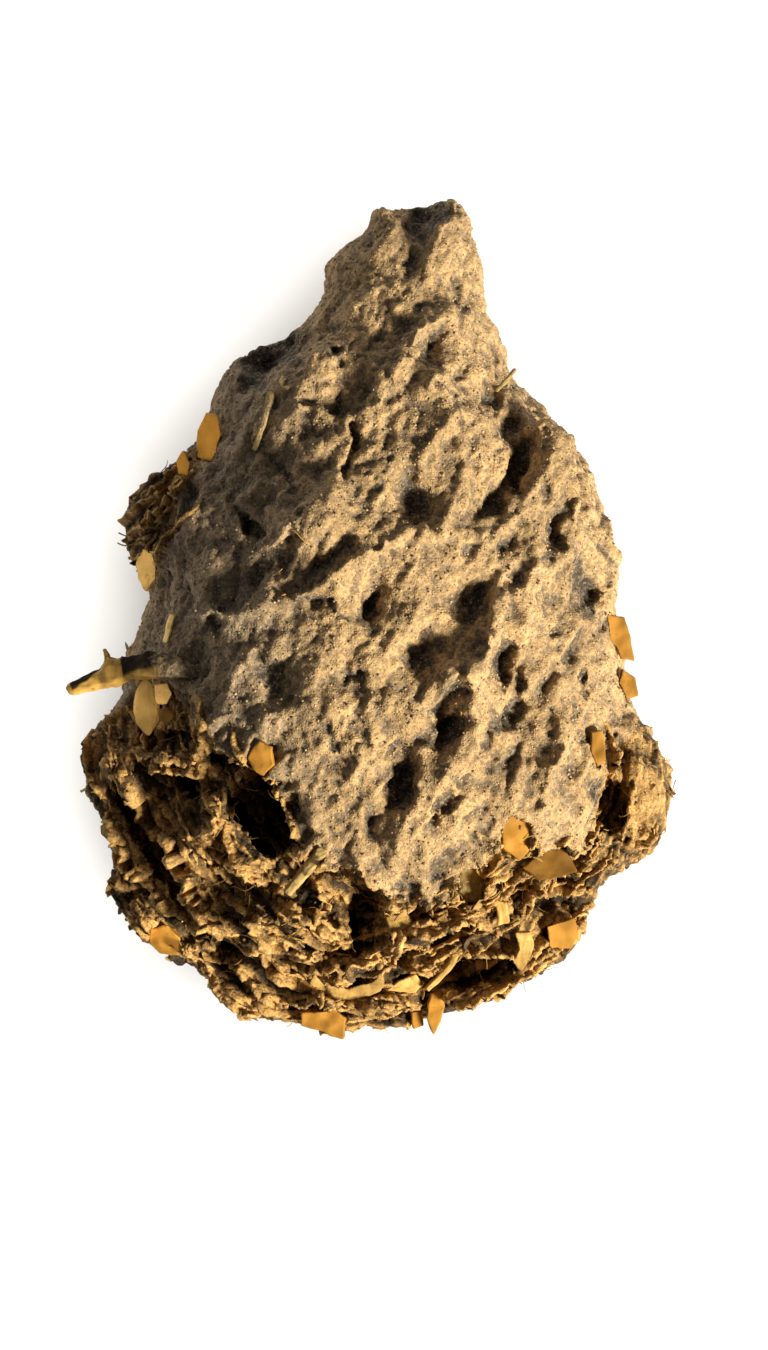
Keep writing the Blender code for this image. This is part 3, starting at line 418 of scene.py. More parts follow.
def broken_mask(points, shelf=0.0):
    """1 where the fibrous inside shows, 0 on the crust, with a ragged border that lies a shelf's width on."""
    wander = 0.5 * noise_at(points, 1.6, 7.0)
    xs, ys = np.array(CRUST_EDGE).T
    distance = distance_to_route(points, CRUST_EDGE)
    front = np.where(points[:, 1] < np.interp(points[:, 0], xs, ys), distance, -distance)
    back = BACK_CRUST_EDGE + noise_at(points, 5.0, 2.0) - points[:, 1]
    height = points[:, 2] - OUTLINE_LEVEL
    side = smoothstep(-4.0, 3.0, height)
    lower = side * front + (1 - side) * back
    sx, sy = np.array(CRUST_SIDE).T
    beside = np.interp(points[:, 1], sy, sx) - points[:, 0]
    beside -= 2.5 * np.maximum(np.maximum(sy[0] - points[:, 1], points[:, 1] - sy[-1]), 0.0)
    beside -= 0.6 * np.maximum(np.abs(height) - 5.0, 0.0)
    lobe = smoothstep(12.6, 13.6, points[:, 0]) * smoothstep(-14.6, -13.4, points[:, 1])
    broken = smoothstep(-0.25, 0.25, np.maximum(lower, beside) + wander * 0.6 - shelf)
    sandy = smoothstep(0.0, 0.3, noise_at(points, 1.8, 33.0))
    return broken * (1.0 - 0.3 * sandy * lobe * smoothstep(-4.8, -6.2, points[:, 1]))


def warped(points, scale, amount, seed):
    """The points moved about by soft noise, so that what is drawn on them gets an uneven outline."""
    moved = [noise.noise_vector(p) for p in (points / scale + seed).tolist()]
    return points + amount * np.array(moved)


LIGHT_SIDE = (0.87, -0.5)  # the way from a pit to its steeper wall


def front_warp(points):
    """The points as seen from the front, moved about so that pits and cracks get uneven outlines."""
    flat = points * [1.0, 1.0, 0.0]
    return warped(warped(flat, 1.7, 0.65, 3.0), 0.6, 0.42, 9.0), noise_at(flat, 0.5, 15.0)


def pit_reach(points, ragged, pit):
    """The points near the pit, how far out each is in it (1 at its rim), and how far on its steeper side."""
    x, y, half_length, half_width, turn, _ = pit
    reach_out = 1.9 * half_length
    near = np.nonzero((np.abs(points[:, 0] - x) < reach_out) & (np.abs(points[:, 1] - y) < reach_out))[0]
    c, s = math.cos(math.radians(turn)), math.sin(math.radians(turn))
    dx, dy = points[near, 0] - x, points[near, 1] - y
    reach = np.hypot((dx * c + dy * s) / half_length, (dy * c - dx * s) / half_width) * (1 + 0.3 * ragged[near])
    side = (dx * LIGHT_SIDE[0] + dy * LIGHT_SIDE[1]) / (np.hypot(dx, dy) + 0.1)
    return near, reach, side


def press_pit(lift, points, ragged, pit):
    """Presses one pit in: steep and slightly raised on one side, with a gentle slope on the other."""
    near, reach, side = pit_reach(points, ragged, pit)
    depth = pit[-1]
    floor = 1.0 - smoothstep(0.2, 1.25, reach)
    rim = np.exp(-(((reach - 1.35) / 0.28) ** 2)) * np.clip(side, 0.0, 1.0)
    pressed = depth * (0.22 * rim - floor * (1.0 + 0.35 * side * reach + 0.25 * ragged[near]))
    lift[near] = np.where(pressed < 0, np.minimum(lift[near], pressed), lift[near] + 0.5 * pressed)


def pit_parts():
    """Each pit as one hollow with three smaller ones around it, which give it an uneven outline."""
    for number, (x, y, half_length, half_width, turn, depth) in enumerate(PITS):
        draw = random.Random(number)
        yield x, y, 0.82 * half_length, 0.8 * half_width, turn, depth
        c, s = math.cos(math.radians(turn)), math.sin(math.radians(turn))
        for _ in range(3):
            angle, out = draw.uniform(0, 2 * math.pi), draw.uniform(0.6, 0.95)
            along, across = out * half_length * math.cos(angle), out * half_width * math.sin(angle)
            size = draw.uniform(0.38, 0.6)
            yield (x + along * c - across * s, y + along * s + across * c, size * half_length,
                   1.2 * size * half_width, turn + draw.gauss(0, 25), depth * draw.uniform(0.4, 0.8))


def hollow_mask(points):
    """1 on the floors of the pits, cracks and troughs on the front, 0 outside them."""
    uneven, ragged = front_warp(points)
    mask = np.zeros(len(points))
    for pit in pit_parts():
        near, reach, _ = pit_reach(uneven, ragged, pit)
        mask[near] = np.maximum(mask[near], (1 - smoothstep(0.6, 1.35, reach)) * min(1.0, 1.2 * pit[-1] ** 1.8))
    for half_width, _, *route in (*CRACKS, *TROUGHS):
        mask = np.maximum(mask, 1 - smoothstep(0.4, 1.2, distance_to_route(uneven, route) / half_width))
    return mask


def small_pits(count, seed):
    """Small pits strewn over the crust, drawn out along its grain."""
    draw = random.Random(seed)
    for _ in range(count):
        half_length = draw.uniform(0.4, 1.5)
        yield (
            draw.uniform(-13, 16),
            draw.uniform(-15, 23),
            half_length,
            half_length * draw.uniform(0.18, 0.34),
            draw.gauss(68, 13),
            draw.uniform(0.12, 0.35) * min(1.0, half_length / 0.6),
        )


def raise_slab(lift, points, rise, route):
    """Raises the surface on the left of the route, with a sharp drop along the route itself."""
    distance, side = beside_route(points, route)
    fade = np.exp(-distance / 1.1) * route_ends(points, route, 1.2)
    lift += rise * fade * np.where(side > 0, 1.0, -0.35)


def cut_crack(lift, points, half_width, depth, route):
    lift -= depth * (1.0 - smoothstep(0.3, 1.3, distance_to_route(points, route) / half_width))


GRAIN_TURN = math.radians(66)  # the crust's ridges run up to the right


def along_grain(points, stretch):
    c, s = math.cos(GRAIN_TURN), math.sin(GRAIN_TURN)
    along = points[:, 0] * c + points[:, 1] * s
    across = points[:, 1] * c - points[:, 0] * s
    return np.stack([along / stretch, across, 0.35 * points[:, 2]], axis=1)


def along_layers(points, stretch):
    """The points in the broken face's own frame: along the torn layers, across them, and up."""
    x, y = points[:, 0] / 15.5, (points[:, 1] + 4.0) / 19.5
    return np.stack([17.0 * np.arctan2(y, x) / stretch, 17.0 * np.hypot(x, y), 0.5 * points[:, 2]], axis=1)


def torn_steps(points, pitch, seed):
    """Steps from 0 to 1 that rise outwards over each torn layer and drop at its edge."""
    layers = along_layers(points, 2.2)
    turns = layers[:, 1] / pitch + 0.75 * noise_at(layers, 2.4, seed) + 0.3 * noise_at(layers, 0.7, seed + 3)
    return turns - np.floor(turns)


def ridges(points, scale, seed, octaves=3):
    """Sharp-crested relief from about -1 to 1: crests stand out and hollows are broad."""
    scaled = (points / scale + seed).tolist()
    crests = np.array([noise.ridged_multi_fractal(p, 0.9, 2.1, octaves, 0.9, 1.6) for p in scaled])
    return np.clip((crests - 0.72) / 0.4, -1.5, 1.5)


def crust_slabs(points, size, seed, crack=0.1):
    """Slabs of crust at uneven heights with cracks between them, from about -1 in a crack to 0.5 on a slab."""
    lift = np.zeros(len(points))
    for k, place in enumerate((points / size + seed).tolist()):
        distances, cells = noise.voronoi(place)
        lift[k] = 0.7 * noise.noise(cells[0] * 3.1) - math.exp(-(((distances[1] - distances[0]) / crack) ** 2))
    return lift


def layer_rims(points):
    """For each point, 1 on the crest of a torn layer's rim, and 1 in the gap along its outer side, which is lowered and
    painted with shade.
    """
    uneven = warped(points * [1.0, 1.0, 0.6], 0.8, 0.25, 6.0)
    rims, gaps = np.zeros(len(points)), np.zeros(len(points))
    for _, thickness, *route in LEDGES:
        distance, side = beside_route(uneven, route)
        first, last = np.array(route[0]), np.array(route[-1])
        run, out = last - first, 0.5 * (first + last) - LAYER_CENTRE
        outwards = distance * side * np.sign(run[0] * out[1] - run[1] * out[0])
        width = thickness * np.where(outwards > 0, 0.3, 0.8)
        ends = 0.2 + 0.8 * route_ends(uneven, route, 0.8)
        rims = np.maximum(rims, ends * np.exp(-((distance / width) ** 2)))
        gaps = np.maximum(gaps, ends * np.exp(-(((outwards - 0.7) / 0.4) ** 2)))
    return rims, gaps * (1 - rims)


def room_below(obj, points, push, chosen):
    """How thick the mass is under each of the chosen points, against the way that it is pushed."""
    tree = surface_tree(obj)
    room = np.full(len(points), np.inf)
    for index in chosen:
        way = Vector(-push[index])
        distance = tree.ray_cast(Vector(points[index]) + 0.1 * way, way)[3]
        if distance is not None:
            room[index] = distance
    return room


def coarse_relief(obj, strength):
    """Slabs, cracks, pits, torn layers and rough relief that are wider than about half a millimetre."""
    points, normals = read_points(obj.data), read_normals(obj.data)
    broken = broken_mask(points)
    facing = smoothstep(-0.05 + 0.15 * broken, 0.35 + 0.3 * broken, normals[:, 2])
    uneven, ragged = front_warp(points)
    lift = np.zeros(len(points))
    for rise, *route in SLAB_EDGES:
        raise_slab(lift, uneven, rise, route)
    for pit in small_pits(70, 5):
        press_pit(lift, uneven, ragged, pit)
    for half_width, depth, *route in CRACKS:
        cut_crack(lift, uneven, half_width, depth, route)
    lift *= 1 - broken
    for half_width, depth, *route in TROUGHS:
        cut_crack(lift, uneven, half_width, depth, route)
    hollows = np.zeros(len(points))
    for pit in pit_parts():
        press_pit(hollows, uneven, ragged, pit)
    rubble = 0.4 * np.clip(-hollows, 0.0, 0.8) * noise_at(points, 0.6, 52.0)
    lift += hollows * (0.68 + 0.32 * broken) + rubble
    beads = 0.9 + 0.18 * noise_at(points, 1.3, 17.0)
    steps = torn_steps(points, 1.35, 20.0)
    rims, gaps = layer_rims(points)
    lift += broken * (0.9 * rims * beads - 0.65 * gaps + 0.5 * (steps - 0.5) * smoothstep(-0.35, 0.1, noise_at(points, 2.6, 24.0)))
    rough = 0.5 + 0.5 * smoothstep(-4.0, 4.0, points[:, 0])  # the left of the crust and the cone are smoother
    rough *= 1.0 - 0.65 * smoothstep(8.0, 15.0, points[:, 1] + 0.35 * points[:, 0])
    rough *= 0.85 + 0.6 * noise_at(points, 5.0, 41.0)
    grain = along_grain(warped(points, 2.4, 0.5, 8.0), 2.1)
    crust = rough * (0.24 * ridges(grain, 2.1, 11.0, 2) - 0.13 * ridges(grain, 0.95, 5.0, 2))
    front = np.nonzero((facing > 0) & (broken < 1))[0]
    slabs = np.zeros(len(points))
    slabs[front] = crust_slabs(warped(points[front], 0.9, 0.35, 18.0), 2.0, 3.0)
    slabs[front] += 0.5 * crust_slabs(warped(points[front], 0.5, 0.2, 28.0), 0.9, 6.0)
    crust += 0.17 * slabs * (1.3 - rough)
    torn = 0.1 * ridges(along_layers(points, 2.0), 1.6, 20.0, 2) + 0.1 * noise_at(points, 0.9, 30.0)
    rise = strength * (crust * (1 - broken) + torn * broken)
    moved = points + normals * rise[:, None]
    push = [0, 0, 1.0] + 1.4 * broken[:, None] * normals
    push /= np.linalg.norm(push, axis=1)[:, None]
    lift *= facing
    lift = np.maximum(lift, -0.45 * room_below(obj, points, push, np.nonzero(lift < -0.5)[0]))
    moved += push * lift[:, None]
    moved[:, 2] = np.where(points[:, 2] < 0.4, points[:, 2], moved[:, 2])
    write_points(obj.data, moved)


def fine_relief(obj, strength):
    """Thin layers, grit and small lumps that are narrower than about half a millimetre."""
    points, normals = read_points(obj.data), read_normals(obj.data)
    broken = broken_mask(points)
    grain = along_grain(warped(points, 0.6, 0.15, 13.0), 2.0)
    grit = -0.05 * ridges(grain, 0.6, 1.0, 3) + 0.06 * noise_at(points, 0.36, 2.0)
    grit += 0.07 * noise_at(points, 0.2, 5.0)
    thin = 0.16 * (torn_steps(points, 0.5, 4.0) - 0.5)
    shreds = -0.06 * ridges(along_layers(points, 2.4), 0.5, 8.0, 3) + 0.05 * noise_at(points, 0.24, 9.0)
    torn = np.nonzero(broken > 0)[0]
    leaves = along_layers(warped(points[torn], 0.7, 0.3, 45.0), 1.7)
    shreds[torn] += 0.1 * crust_slabs(leaves, 0.95, 12.0, 0.2)
    sandy = np.nonzero((broken < 1) & (normals[:, 2] > 0.1))[0]
    grit[sandy] += 0.07 * crust_slabs(warped(points[sandy], 0.5, 0.2, 47.0), 0.8, 16.0, 0.22)
    rise = strength * (grit * (1 - broken) + (thin + shreds) * broken)
    off_table = smoothstep(0.05, 1.0, points[:, 2])
    write_points(obj.data, points + normals * (rise * off_table)[:, None])


def clear_bits(mesh, sink=0.06):
    """Lowers what would hide the bedded plant bits from the front."""
    points = read_points(mesh)
    for node in frame["nodes"]:
        if node in ("dung_mass", *SUNK_BITS):
            continue
        tree = node_tree(node)
        low, high = (np.array(corner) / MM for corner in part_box(node))
        near = np.all((points[:, :2] > low[:2] - BIT_MARGIN) & (points[:, :2] < high[:2] + BIT_MARGIN), axis=1)
        near &= points[:, 2] > low[2] - 0.5
        for index in np.nonzero(near)[0]:
            x, y, z = points[index]
            tops = [front_hit(tree, x + dx, y + dy)[0] for dx, dy in BIT_PROBES]
            tops = [top.z for top in tops if top is not None]
            if tops and z > min(tops) - sink:
                points[index, 2] = min(tops) - sink
    write_points(mesh, points)


def node_tree(node):
    """The CAD node's surface in millimetres, for finding what lies over or near it."""
    return surface_tree(frame["nodes"][node])


def smooth_route(route, step):
    """Points and ways along a smooth curve through the route's points, about a step apart."""
    knots = [Vector(p) for p in route]
    knots = [2 * knots[0] - knots[1]] + knots + [2 * knots[-1] - knots[-2]]
    places = []
    for a, b, c, d in zip(knots, knots[1:], knots[2:], knots[3:]):
        count = max(2, round((c - b).length / step))
        for k in range(count):
            t = k / count
            places.append(0.5 * (2 * b + (c - a) * t + (2 * a - 5 * b + 4 * c - d) * t**2 + (3 * b - a - 3 * c + d) * t**3))
    places.append(knots[-2])
    ways = [(q - p).normalized() for p, q in zip(places, places[1:])]
    return places, ways + [ways[-1]]


def front_hit(tree, x, y):
    """The point and normal of the surface under x, y."""
    place, normal, _, _ = tree.ray_cast(Vector((x, y, 80.0)), Vector((0, 0, -1)))
    return place, normal


def add_ledge(bm, tree, route, reach, thickness, seed, jut=24.0):
    """A torn layer along the route: it starts inside the mass and juts outwards to a ragged edge."""
    rings = []
    places, ways = smooth_route(route, 0.2)
    tilt = math.radians(jut)
    for k, (place, way) in enumerate(zip(places, ways)):
        hit, normal = front_hit(tree, place.x, place.y)
        if hit is None:
            continue
        ends = min(1.0, 0.2 + 5.0 * min(k, len(places) - 1 - k) / len(places))
        scallop = 0.4 * noise.noise((place.x * 0.9, place.y * 0.9, seed))
        scallop += 0.3 * noise.noise((place.x * 2.3, place.y * 2.3, seed + 5))
        scallop += 0.22 * noise.noise((place.x * 5.0, place.y * 5.0, seed + 7))
        length = reach * ends * max(0.8 + scallop, 0.15)
        outward = Vector((place.x - LAYER_CENTRE[0], place.y - LAYER_CENTRE[1], 0.0)).normalized()
        aside = Vector((way.y, -way.x, 0.0))
        aside = aside if aside.dot(outward) > 0 else -aside
        up = (0.6 * normal + Vector((0, 0, 1.0))).normalized()
        rise = (up * math.cos(tilt) + aside * math.sin(tilt)).normalized()
        flat = rise.cross(Vector((way.x, way.y, 0))).normalized()
        half = 0.5 * thickness * (0.75 + 0.7 * noise.noise((place.x * 1.4, place.y * 1.4, seed + 9)))
        curl = up * 0.22 * length
        root, middle = hit - 0.8 * rise, hit + 0.5 * length * rise
        tip = hit + length * rise + curl
        rings.append(
            (root + flat * half * 1.8, middle + flat * half, tip + flat * half * 0.7,
             tip - flat * half * 0.7, middle - flat * half, root - flat * half * 1.8)
        )
    if len(rings) < 3:
        return
    loops = [[bm.verts.new(p) for p in ring] for ring in rings]
    sides = len(rings[0])
    for one, two in zip(loops, loops[1:]):
        for k in range(sides):
            bm.faces.new((one[k], one[(k + 1) % sides], two[(k + 1) % sides], two[k]))
    bm.faces.new(loops[0][::-1])
    bm.faces.new(loops[-1])


def add_sheet(bm, tree, route, reach, thickness, seed, jut, rows):
    """A thin torn sheet along the route: it starts inside the mass and stands out to a ragged, crinkled edge."""
    rim = bm.verts.layers.float["rim"]
    rings = []
    places, ways = smooth_route(route, SHEET_STEP * (1.0))
    tilt = math.radians(jut)
    for k, (place, way) in enumerate(zip(places, ways)):
        hit, normal = front_hit(tree, place.x, place.y)
        if hit is None:
            continue
        x, y = place.x, place.y
        ends = min(1.0, 5.0 * min(k, len(places) - 1 - k) / len(places))
        ragged = 0.22 * noise.noise((0.9 * x, 0.9 * y, seed)) + 0.1 * noise.noise((2.4 * x, 2.4 * y, seed + 5))
        ragged += 0.1 * noise.noise((7.0 * x, 7.0 * y, seed + 7))
        length = reach * max((0.3 + 0.7 * ends) * (0.85 + ragged), 0.08)
        outward = Vector((x - LAYER_CENTRE[0], y - LAYER_CENTRE[1], 0.0)).normalized()
        aside = Vector((way.y, -way.x, 0.0))
        aside = aside if aside.dot(outward) > 0 else -aside
        up = (0.6 * normal + Vector((0, 0, 1.0))).normalized()
        rise = (up * math.cos(tilt) + aside * math.sin(tilt)).normalized()
        flat = rise.cross(Vector((way.x, way.y, 0))).normalized()
        bend = 0.25 + 0.3 * noise.noise((1.1 * x, 1.1 * y, seed + 3))
        thick = 0.5 * thickness * (0.9 + 0.6 * noise.noise((1.8 * x, 1.8 * y, seed + 9)))
        near, far = [], []
        for row in range(rows + 1):
            t = row / rows
            wave = 0.12 * noise.noise((2.0 * x, 2.0 * y, 1.5 * t + seed))
            wave += 0.08 * noise.noise((6.0 * x, 6.0 * y, 4.0 * t + seed))
            centre = hit + rise * (length * t - 0.45 * (1 - t)) + aside * (bend * length * t * t + wave)
            half = thick * (1.0 - 0.45 * t)
            near.append((centre + flat * half, t))
            far.append((centre - flat * half, t))
        rings.append(near + far[::-1])
    if len(rings) < 3:
        return
    loops = []
    for ring in rings:
        loops.append([bm.verts.new(place) for place, _ in ring])
        for vert, (_, t) in zip(loops[-1], ring):
            vert[rim] = t
    sides = len(rings[0])
    for one, two in zip(loops, loops[1:]):
        for k in range(sides):
            bm.faces.new((one[k], one[(k + 1) % sides], two[(k + 1) % sides], two[k]))
    bm.faces.new(loops[0][::-1])
    bm.faces.new(loops[-1])


def add_clod(bm, place, halves, turn):
    made = bmesh.ops.create_icosphere(bm, subdivisions=2, radius=1.0)
    for vert in made["verts"]:
        vert.co *= 1.0 + 0.35 * noise.noise(vert.co * 1.5 + place)
    matrix = Matrix.Translation(place) @ Matrix.Rotation(turn, 4, "Z") @ Matrix.Diagonal((*halves, 1.0))
    bmesh.ops.transform(bm, verts=made["verts"], matrix=matrix)


def broken_spots(tree, count, seed):
    """Random places on the broken face with their normals and a draw for what is put there."""
    draw = random.Random(seed)
    placed = 0
    while placed < count:
        x, y = draw.uniform(-16.5, 13.5), draw.uniform(-23.6, 9.0)
        hit, normal = front_hit(tree, x, y)
        if hit is not None and hit.z > 3.0 and broken_mask(np.array([hit]))[0] > 0.8:
            placed += 1
            yield hit, normal, draw


def add_clods(bm, tree, count):
    """Clods of many sizes, half sunk in the broken face."""
    for hit, normal, draw in broken_spots(tree, count, seed=21):
        radius = 0.14 + 0.3 * draw.random() ** 2
        halves = (radius * draw.uniform(0.9, 1.6), radius * draw.uniform(0.6, 1.0), radius * 0.8)
        add_clod(bm, hit - 0.2 * radius * normal, halves, draw.uniform(0, math.pi))


def add_laminae(bm, tree, count):
    """Thin torn leaves of dung that follow the layers."""
    for hit, normal, draw in broken_spots(tree, count, seed=31):
        outward = Vector((hit.x - LAYER_CENTRE[0], hit.y - LAYER_CENTRE[1]))
        turn = math.atan2(outward.y, outward.x) + math.pi / 2 + draw.gauss(0.0, 0.2)
        half, bend = 0.5 * draw.uniform(1.2, 4.6), draw.uniform(-0.1, 0.1)
        way = Vector((math.cos(turn), math.sin(turn)))
        across = Vector((-way.y, way.x))
        route = [
            hit.xy + way * half * t + across * half * bend * (1 - t * t) * 4 for t in (-1.0, -0.5, 0.0, 0.5, 1.0)
        ]
        add_sheet(bm, tree, route, draw.uniform(0.2, 0.6), draw.uniform(0.15, 0.32), draw.uniform(0, 90),
                  jut=draw.uniform(-10, 50), rows=3)


def fused_details(tree):
    """The crust's overhanging lip and clods, to be fused to the mass."""
    bm = bmesh.new()
    lip = [(x, y + 0.35) for x, y in CRUST_EDGE[2:-2]]
    add_ledge(bm, tree, lip, LIP[0], LIP[1], seed=70.0, jut=80.0)
    add_clods(bm, tree, 70)
    bmesh.ops.recalc_face_normals(bm, faces=bm.faces)
    return bm


SHEET_STEP = 0.11  # spacing of the points along a torn sheet's edge


def build_layers(surface, sizes):
    """The torn sheets on the broken face, as closed forms rooted in the mass."""
    tree = surface_tree(surface)
    bm = bmesh.new()
    bm.verts.layers.float.new("rim")
    for number, (reach, thickness, *route) in enumerate(LEDGES):
        add_sheet(bm, tree, route, 0.6 * reach, 0.8 * thickness, seed=number * 3.0, jut=20.0, rows=5)
    add_laminae(bm, tree, sizes.laminae)
    bmesh.ops.recalc_face_normals(bm, faces=bm.faces)
    bmesh.ops.transform(bm, verts=bm.verts, matrix=Matrix.Scale(MM, 4))
    mesh = bpy.data.meshes.new("torn_layers")
    bm.to_mesh(mesh)
    bm.free()
    layers = bpy.data.objects.new("torn_layers", mesh)
    bpy.context.scene.collection.objects.link(layers)
    points, normals = read_points(mesh), read_normals(mesh)
    crumbly = 0.035 * noise_at(points, 0.34, 44.0) + 0.03 * noise_at(points, 0.16, 46.0)
    write_points(mesh, points + normals * crumbly[:, None])
    # The sheets' outer edges get the rim value, which the material paints golden with a painted highlight.
    rim = smoothstep(0.15, 0.95, mask_values(mesh, "rim")) * (0.9 + 0.5 * noise_at(points, 1.1, 50.0))
    store(mesh, "rim", np.clip(rim, 0.0, 1.0))
    store(mesh, "broken", np.ones(len(points)))
    clear_bits(mesh, 0.02)
    shade_smooth(layers)
    return layers


def surface_tree(obj):
    bm = bmesh.new()
    bm.from_mesh(obj.data)
    bmesh.ops.transform(bm, verts=bm.verts, matrix=Matrix.Scale(1 / MM, 4))
    tree = BVHTree.FromBMesh(bm)
    bm.free()
    return tree


def relief_maps(mesh):
    """Stores how far each point stands out of, or lies in, its surroundings, in a fine and a broad measure."""
    points, normals = read_points(mesh), read_normals(mesh)
    edges = np.empty(len(mesh.edges) * 2, dtype=np.int64)
    mesh.edges.foreach_get("vertices", edges)
    one, two = edges.reshape(-1, 2).T
    count = np.bincount(one, minlength=len(points)) + np.bincount(two, minlength=len(points))
    blurred = points.copy()
    for step in range(1, 61):
        total = np.stack(
            [
                np.bincount(one, blurred[two, k], len(points)) + np.bincount(two, blurred[one, k], len(points))
                for k in range(3)
            ],
            axis=1,
        )
        blurred = 0.5 * blurred + 0.5 * total / np.maximum(count, 1)[:, None]
        if step == 8:
            store(mesh, "fine_relief", np.einsum("ij,ij->i", points - blurred, normals))
    store(mesh, "broad_relief", np.einsum("ij,ij->i", points - blurred, normals))


def smooth_lump():
    """The lump without its relief, for telling how deep a point lies in a hollow."""
    lump = merged_copy("dung_mass", "smooth_lump")
    remesh(lump, 0.6)
    relax(lump, 0.5, 40)
    tree = surface_tree(lump)
    bpy.data.objects.remove(lump)
    return tree


def store_depth(mesh, tree):
    """Stores how deep each point lies below the smooth lump, in millimetres."""
    points = read_points(mesh)
    depth = np.zeros(len(points))
    for k, point in enumerate(points.tolist()):
        near, normal, _, _ = tree.find_nearest(point)
        depth[k] = (near - Vector(point)).dot(normal)
    store(mesh, "depth", depth)


def keep_largest_body(obj):
    bm = bmesh.new()
    bm.from_mesh(obj.data)
    left, bodies = set(bm.verts), []
    while left:
        reached, todo = set(), [next(iter(left))]
        while todo:
            vert = todo.pop()
            if vert not in reached:
                reached.add(vert)
                todo.extend(edge.other_vert(vert) for edge in vert.link_edges)
        left -= reached
        bodies.append(reached)
    keep = max(bodies, key=len)
    bmesh.ops.delete(bm, geom=[v for v in bm.verts if v not in keep], context="VERTS")
    bm.to_mesh(obj.data)
    bm.free()


def thin_back(obj, triangles):
    """Makes the mesh coarser, mostly on the underside, until it has about that many triangles."""
    have = sum(len(polygon.vertices) - 2 for polygon in obj.data.polygons)
    if have <= triangles:
        return
    normals = read_normals(obj.data)
    group = obj.vertex_groups.new(name="back")
    share = smoothstep(0.1, -0.5, normals[:, 2])
    for step in range(11):
        chosen = np.nonzero(np.round(share * 10) == step)[0]
        group.add(chosen.tolist(), 0.02 + 0.098 * step, "REPLACE")
    modifier = obj.modifiers.new("thin", "DECIMATE")
    modifier.ratio = triangles / have
    modifier.vertex_group = "back"
    modifier.vertex_group_factor = 8.0
    modifier.use_collapse_triangulate = True
    apply_modifiers(obj)


def build_mass(sizes):
    """The dung mass's finished surface, around its CAD solid."""
    grid = sizes.surface_grid * 1.0
    mass = merged_copy("dung_mass", "dung_surface")
    remesh(mass, COARSE_GRID * (1.0))
    relax(mass, 0.5, 10)
    coarse_relief(mass, sizes.relief)
    details = fused_details(surface_tree(mass))
    bmesh.ops.transform(details, verts=details.verts, matrix=Matrix.Scale(MM, 4))
    details.from_mesh(mass.data)
    details.to_mesh(mass.data)
    details.free()
    remesh(mass, grid)
    relax(mass, 0.35, 1)
    fine_relief(mass, sizes.relief)
    clear_bits(mass.data)
    keep_largest_body(mass)
    thin_back(mass, MASS_TRIANGLES)
    points = read_points(mass.data)
    rims, gaps = layer_rims(points)
    hollow = hollow_mask(points) * smoothstep(0.0, 0.3, read_normals(mass.data)[:, 2])
    points[:, 2] = np.where(points[:, 2] < 0.12, 0.0, points[:, 2])
    write_points(mass.data, points)
    # The relief maps tell the material where to lay painted shade and grit in the creases and hollows, and painted
    # highlights on the crests.
    relief_maps(mass.data)
    shelf = CRUST_SHELF * smoothstep(0.25, 0.7, read_normals(mass.data)[:, 2])
    broken = broken_mask(points, shelf)
    store(mass.data, "broken", broken)
    # The hollows' mask, with the gaps beside the torn layers, along which the material lays grit and painted shade.
    store(mass.data, "hollow", np.maximum(hollow, broken * gaps))
    steps = smoothstep(0.78, 0.97, torn_steps(points, 1.35, 20.0))
    # The rims, which the material paints golden with a painted highlight.
    store(mass.data, "rim", broken * np.maximum(rims, 0.7 * steps))
    # The depth tells the material where to lay painted shade in the deep parts.
    store_depth(mass.data, smooth_lump())
    shade_smooth(mass)
    return mass


class Tree:
    """Short calls for building a node tree."""

    def __init__(self, tree):
        self.tree = tree

    def add(self, kind, **values):
        node = self.tree.nodes.new(kind)
        for name, value in values.items():
            if hasattr(node, name):
                setattr(node, name, value)
            else:
                self.put(node, name.replace("_", " "), value)
        return node

    def put(self, node, socket, value):
        """Sets a socket to a value or links it to another node's output."""
        target = node.inputs[socket]
        if isinstance(value, bpy.types.NodeSocket):
            self.tree.links.new(value, target)
        else:
            target.default_value = value

    def math(self, operation, a, b=0.0, clamp=False):
        node = self.tree.nodes.new("ShaderNodeMath")
        node.operation = operation
        node.use_clamp = clamp
        self.put(node, 0, a)
        self.put(node, 1, b)
        return node.outputs[0]

    def mix(self, factor, a, b, blend="MIX"):
        node = self.tree.nodes.new("ShaderNodeMix")
        node.data_type = "RGBA"
        node.blend_type = blend
        self.put(node, 0, factor)
        self.put(node, 6, a)
        self.put(node, 7, b)
        return node.outputs[2]

    def spread(self, value, low, high, start=0.0, end=1.0):
        """The value drawn from low..high to start..end, with soft ends."""
        node = self.tree.nodes.new("ShaderNodeMapRange")
        node.interpolation_type = "SMOOTHSTEP"
        for socket, given in zip(("Value", "From Min", "From Max", "To Min", "To Max"), (value, low, high, start, end)):
            self.put(node, socket, given)
        return node.outputs[0]

    def noise(self, vector, scale, detail=2.0, rough=0.5):
        node = self.tree.nodes.new("ShaderNodeTexNoise")
        self.put(node, "Vector", vector)
        for socket, value in zip(("Scale", "Detail", "Roughness"), (scale, detail, rough)):
            self.put(node, socket, value)
        return node.outputs["Fac"]

    def attribute(self, name):
        node = self.tree.nodes.new("ShaderNodeAttribute")
        node.attribute_name = name
        return node.outputs["Fac"]


def rgba(colour, scale=1.0):
    return (*(min(1.0, c * scale) for c in colour), 1.0)


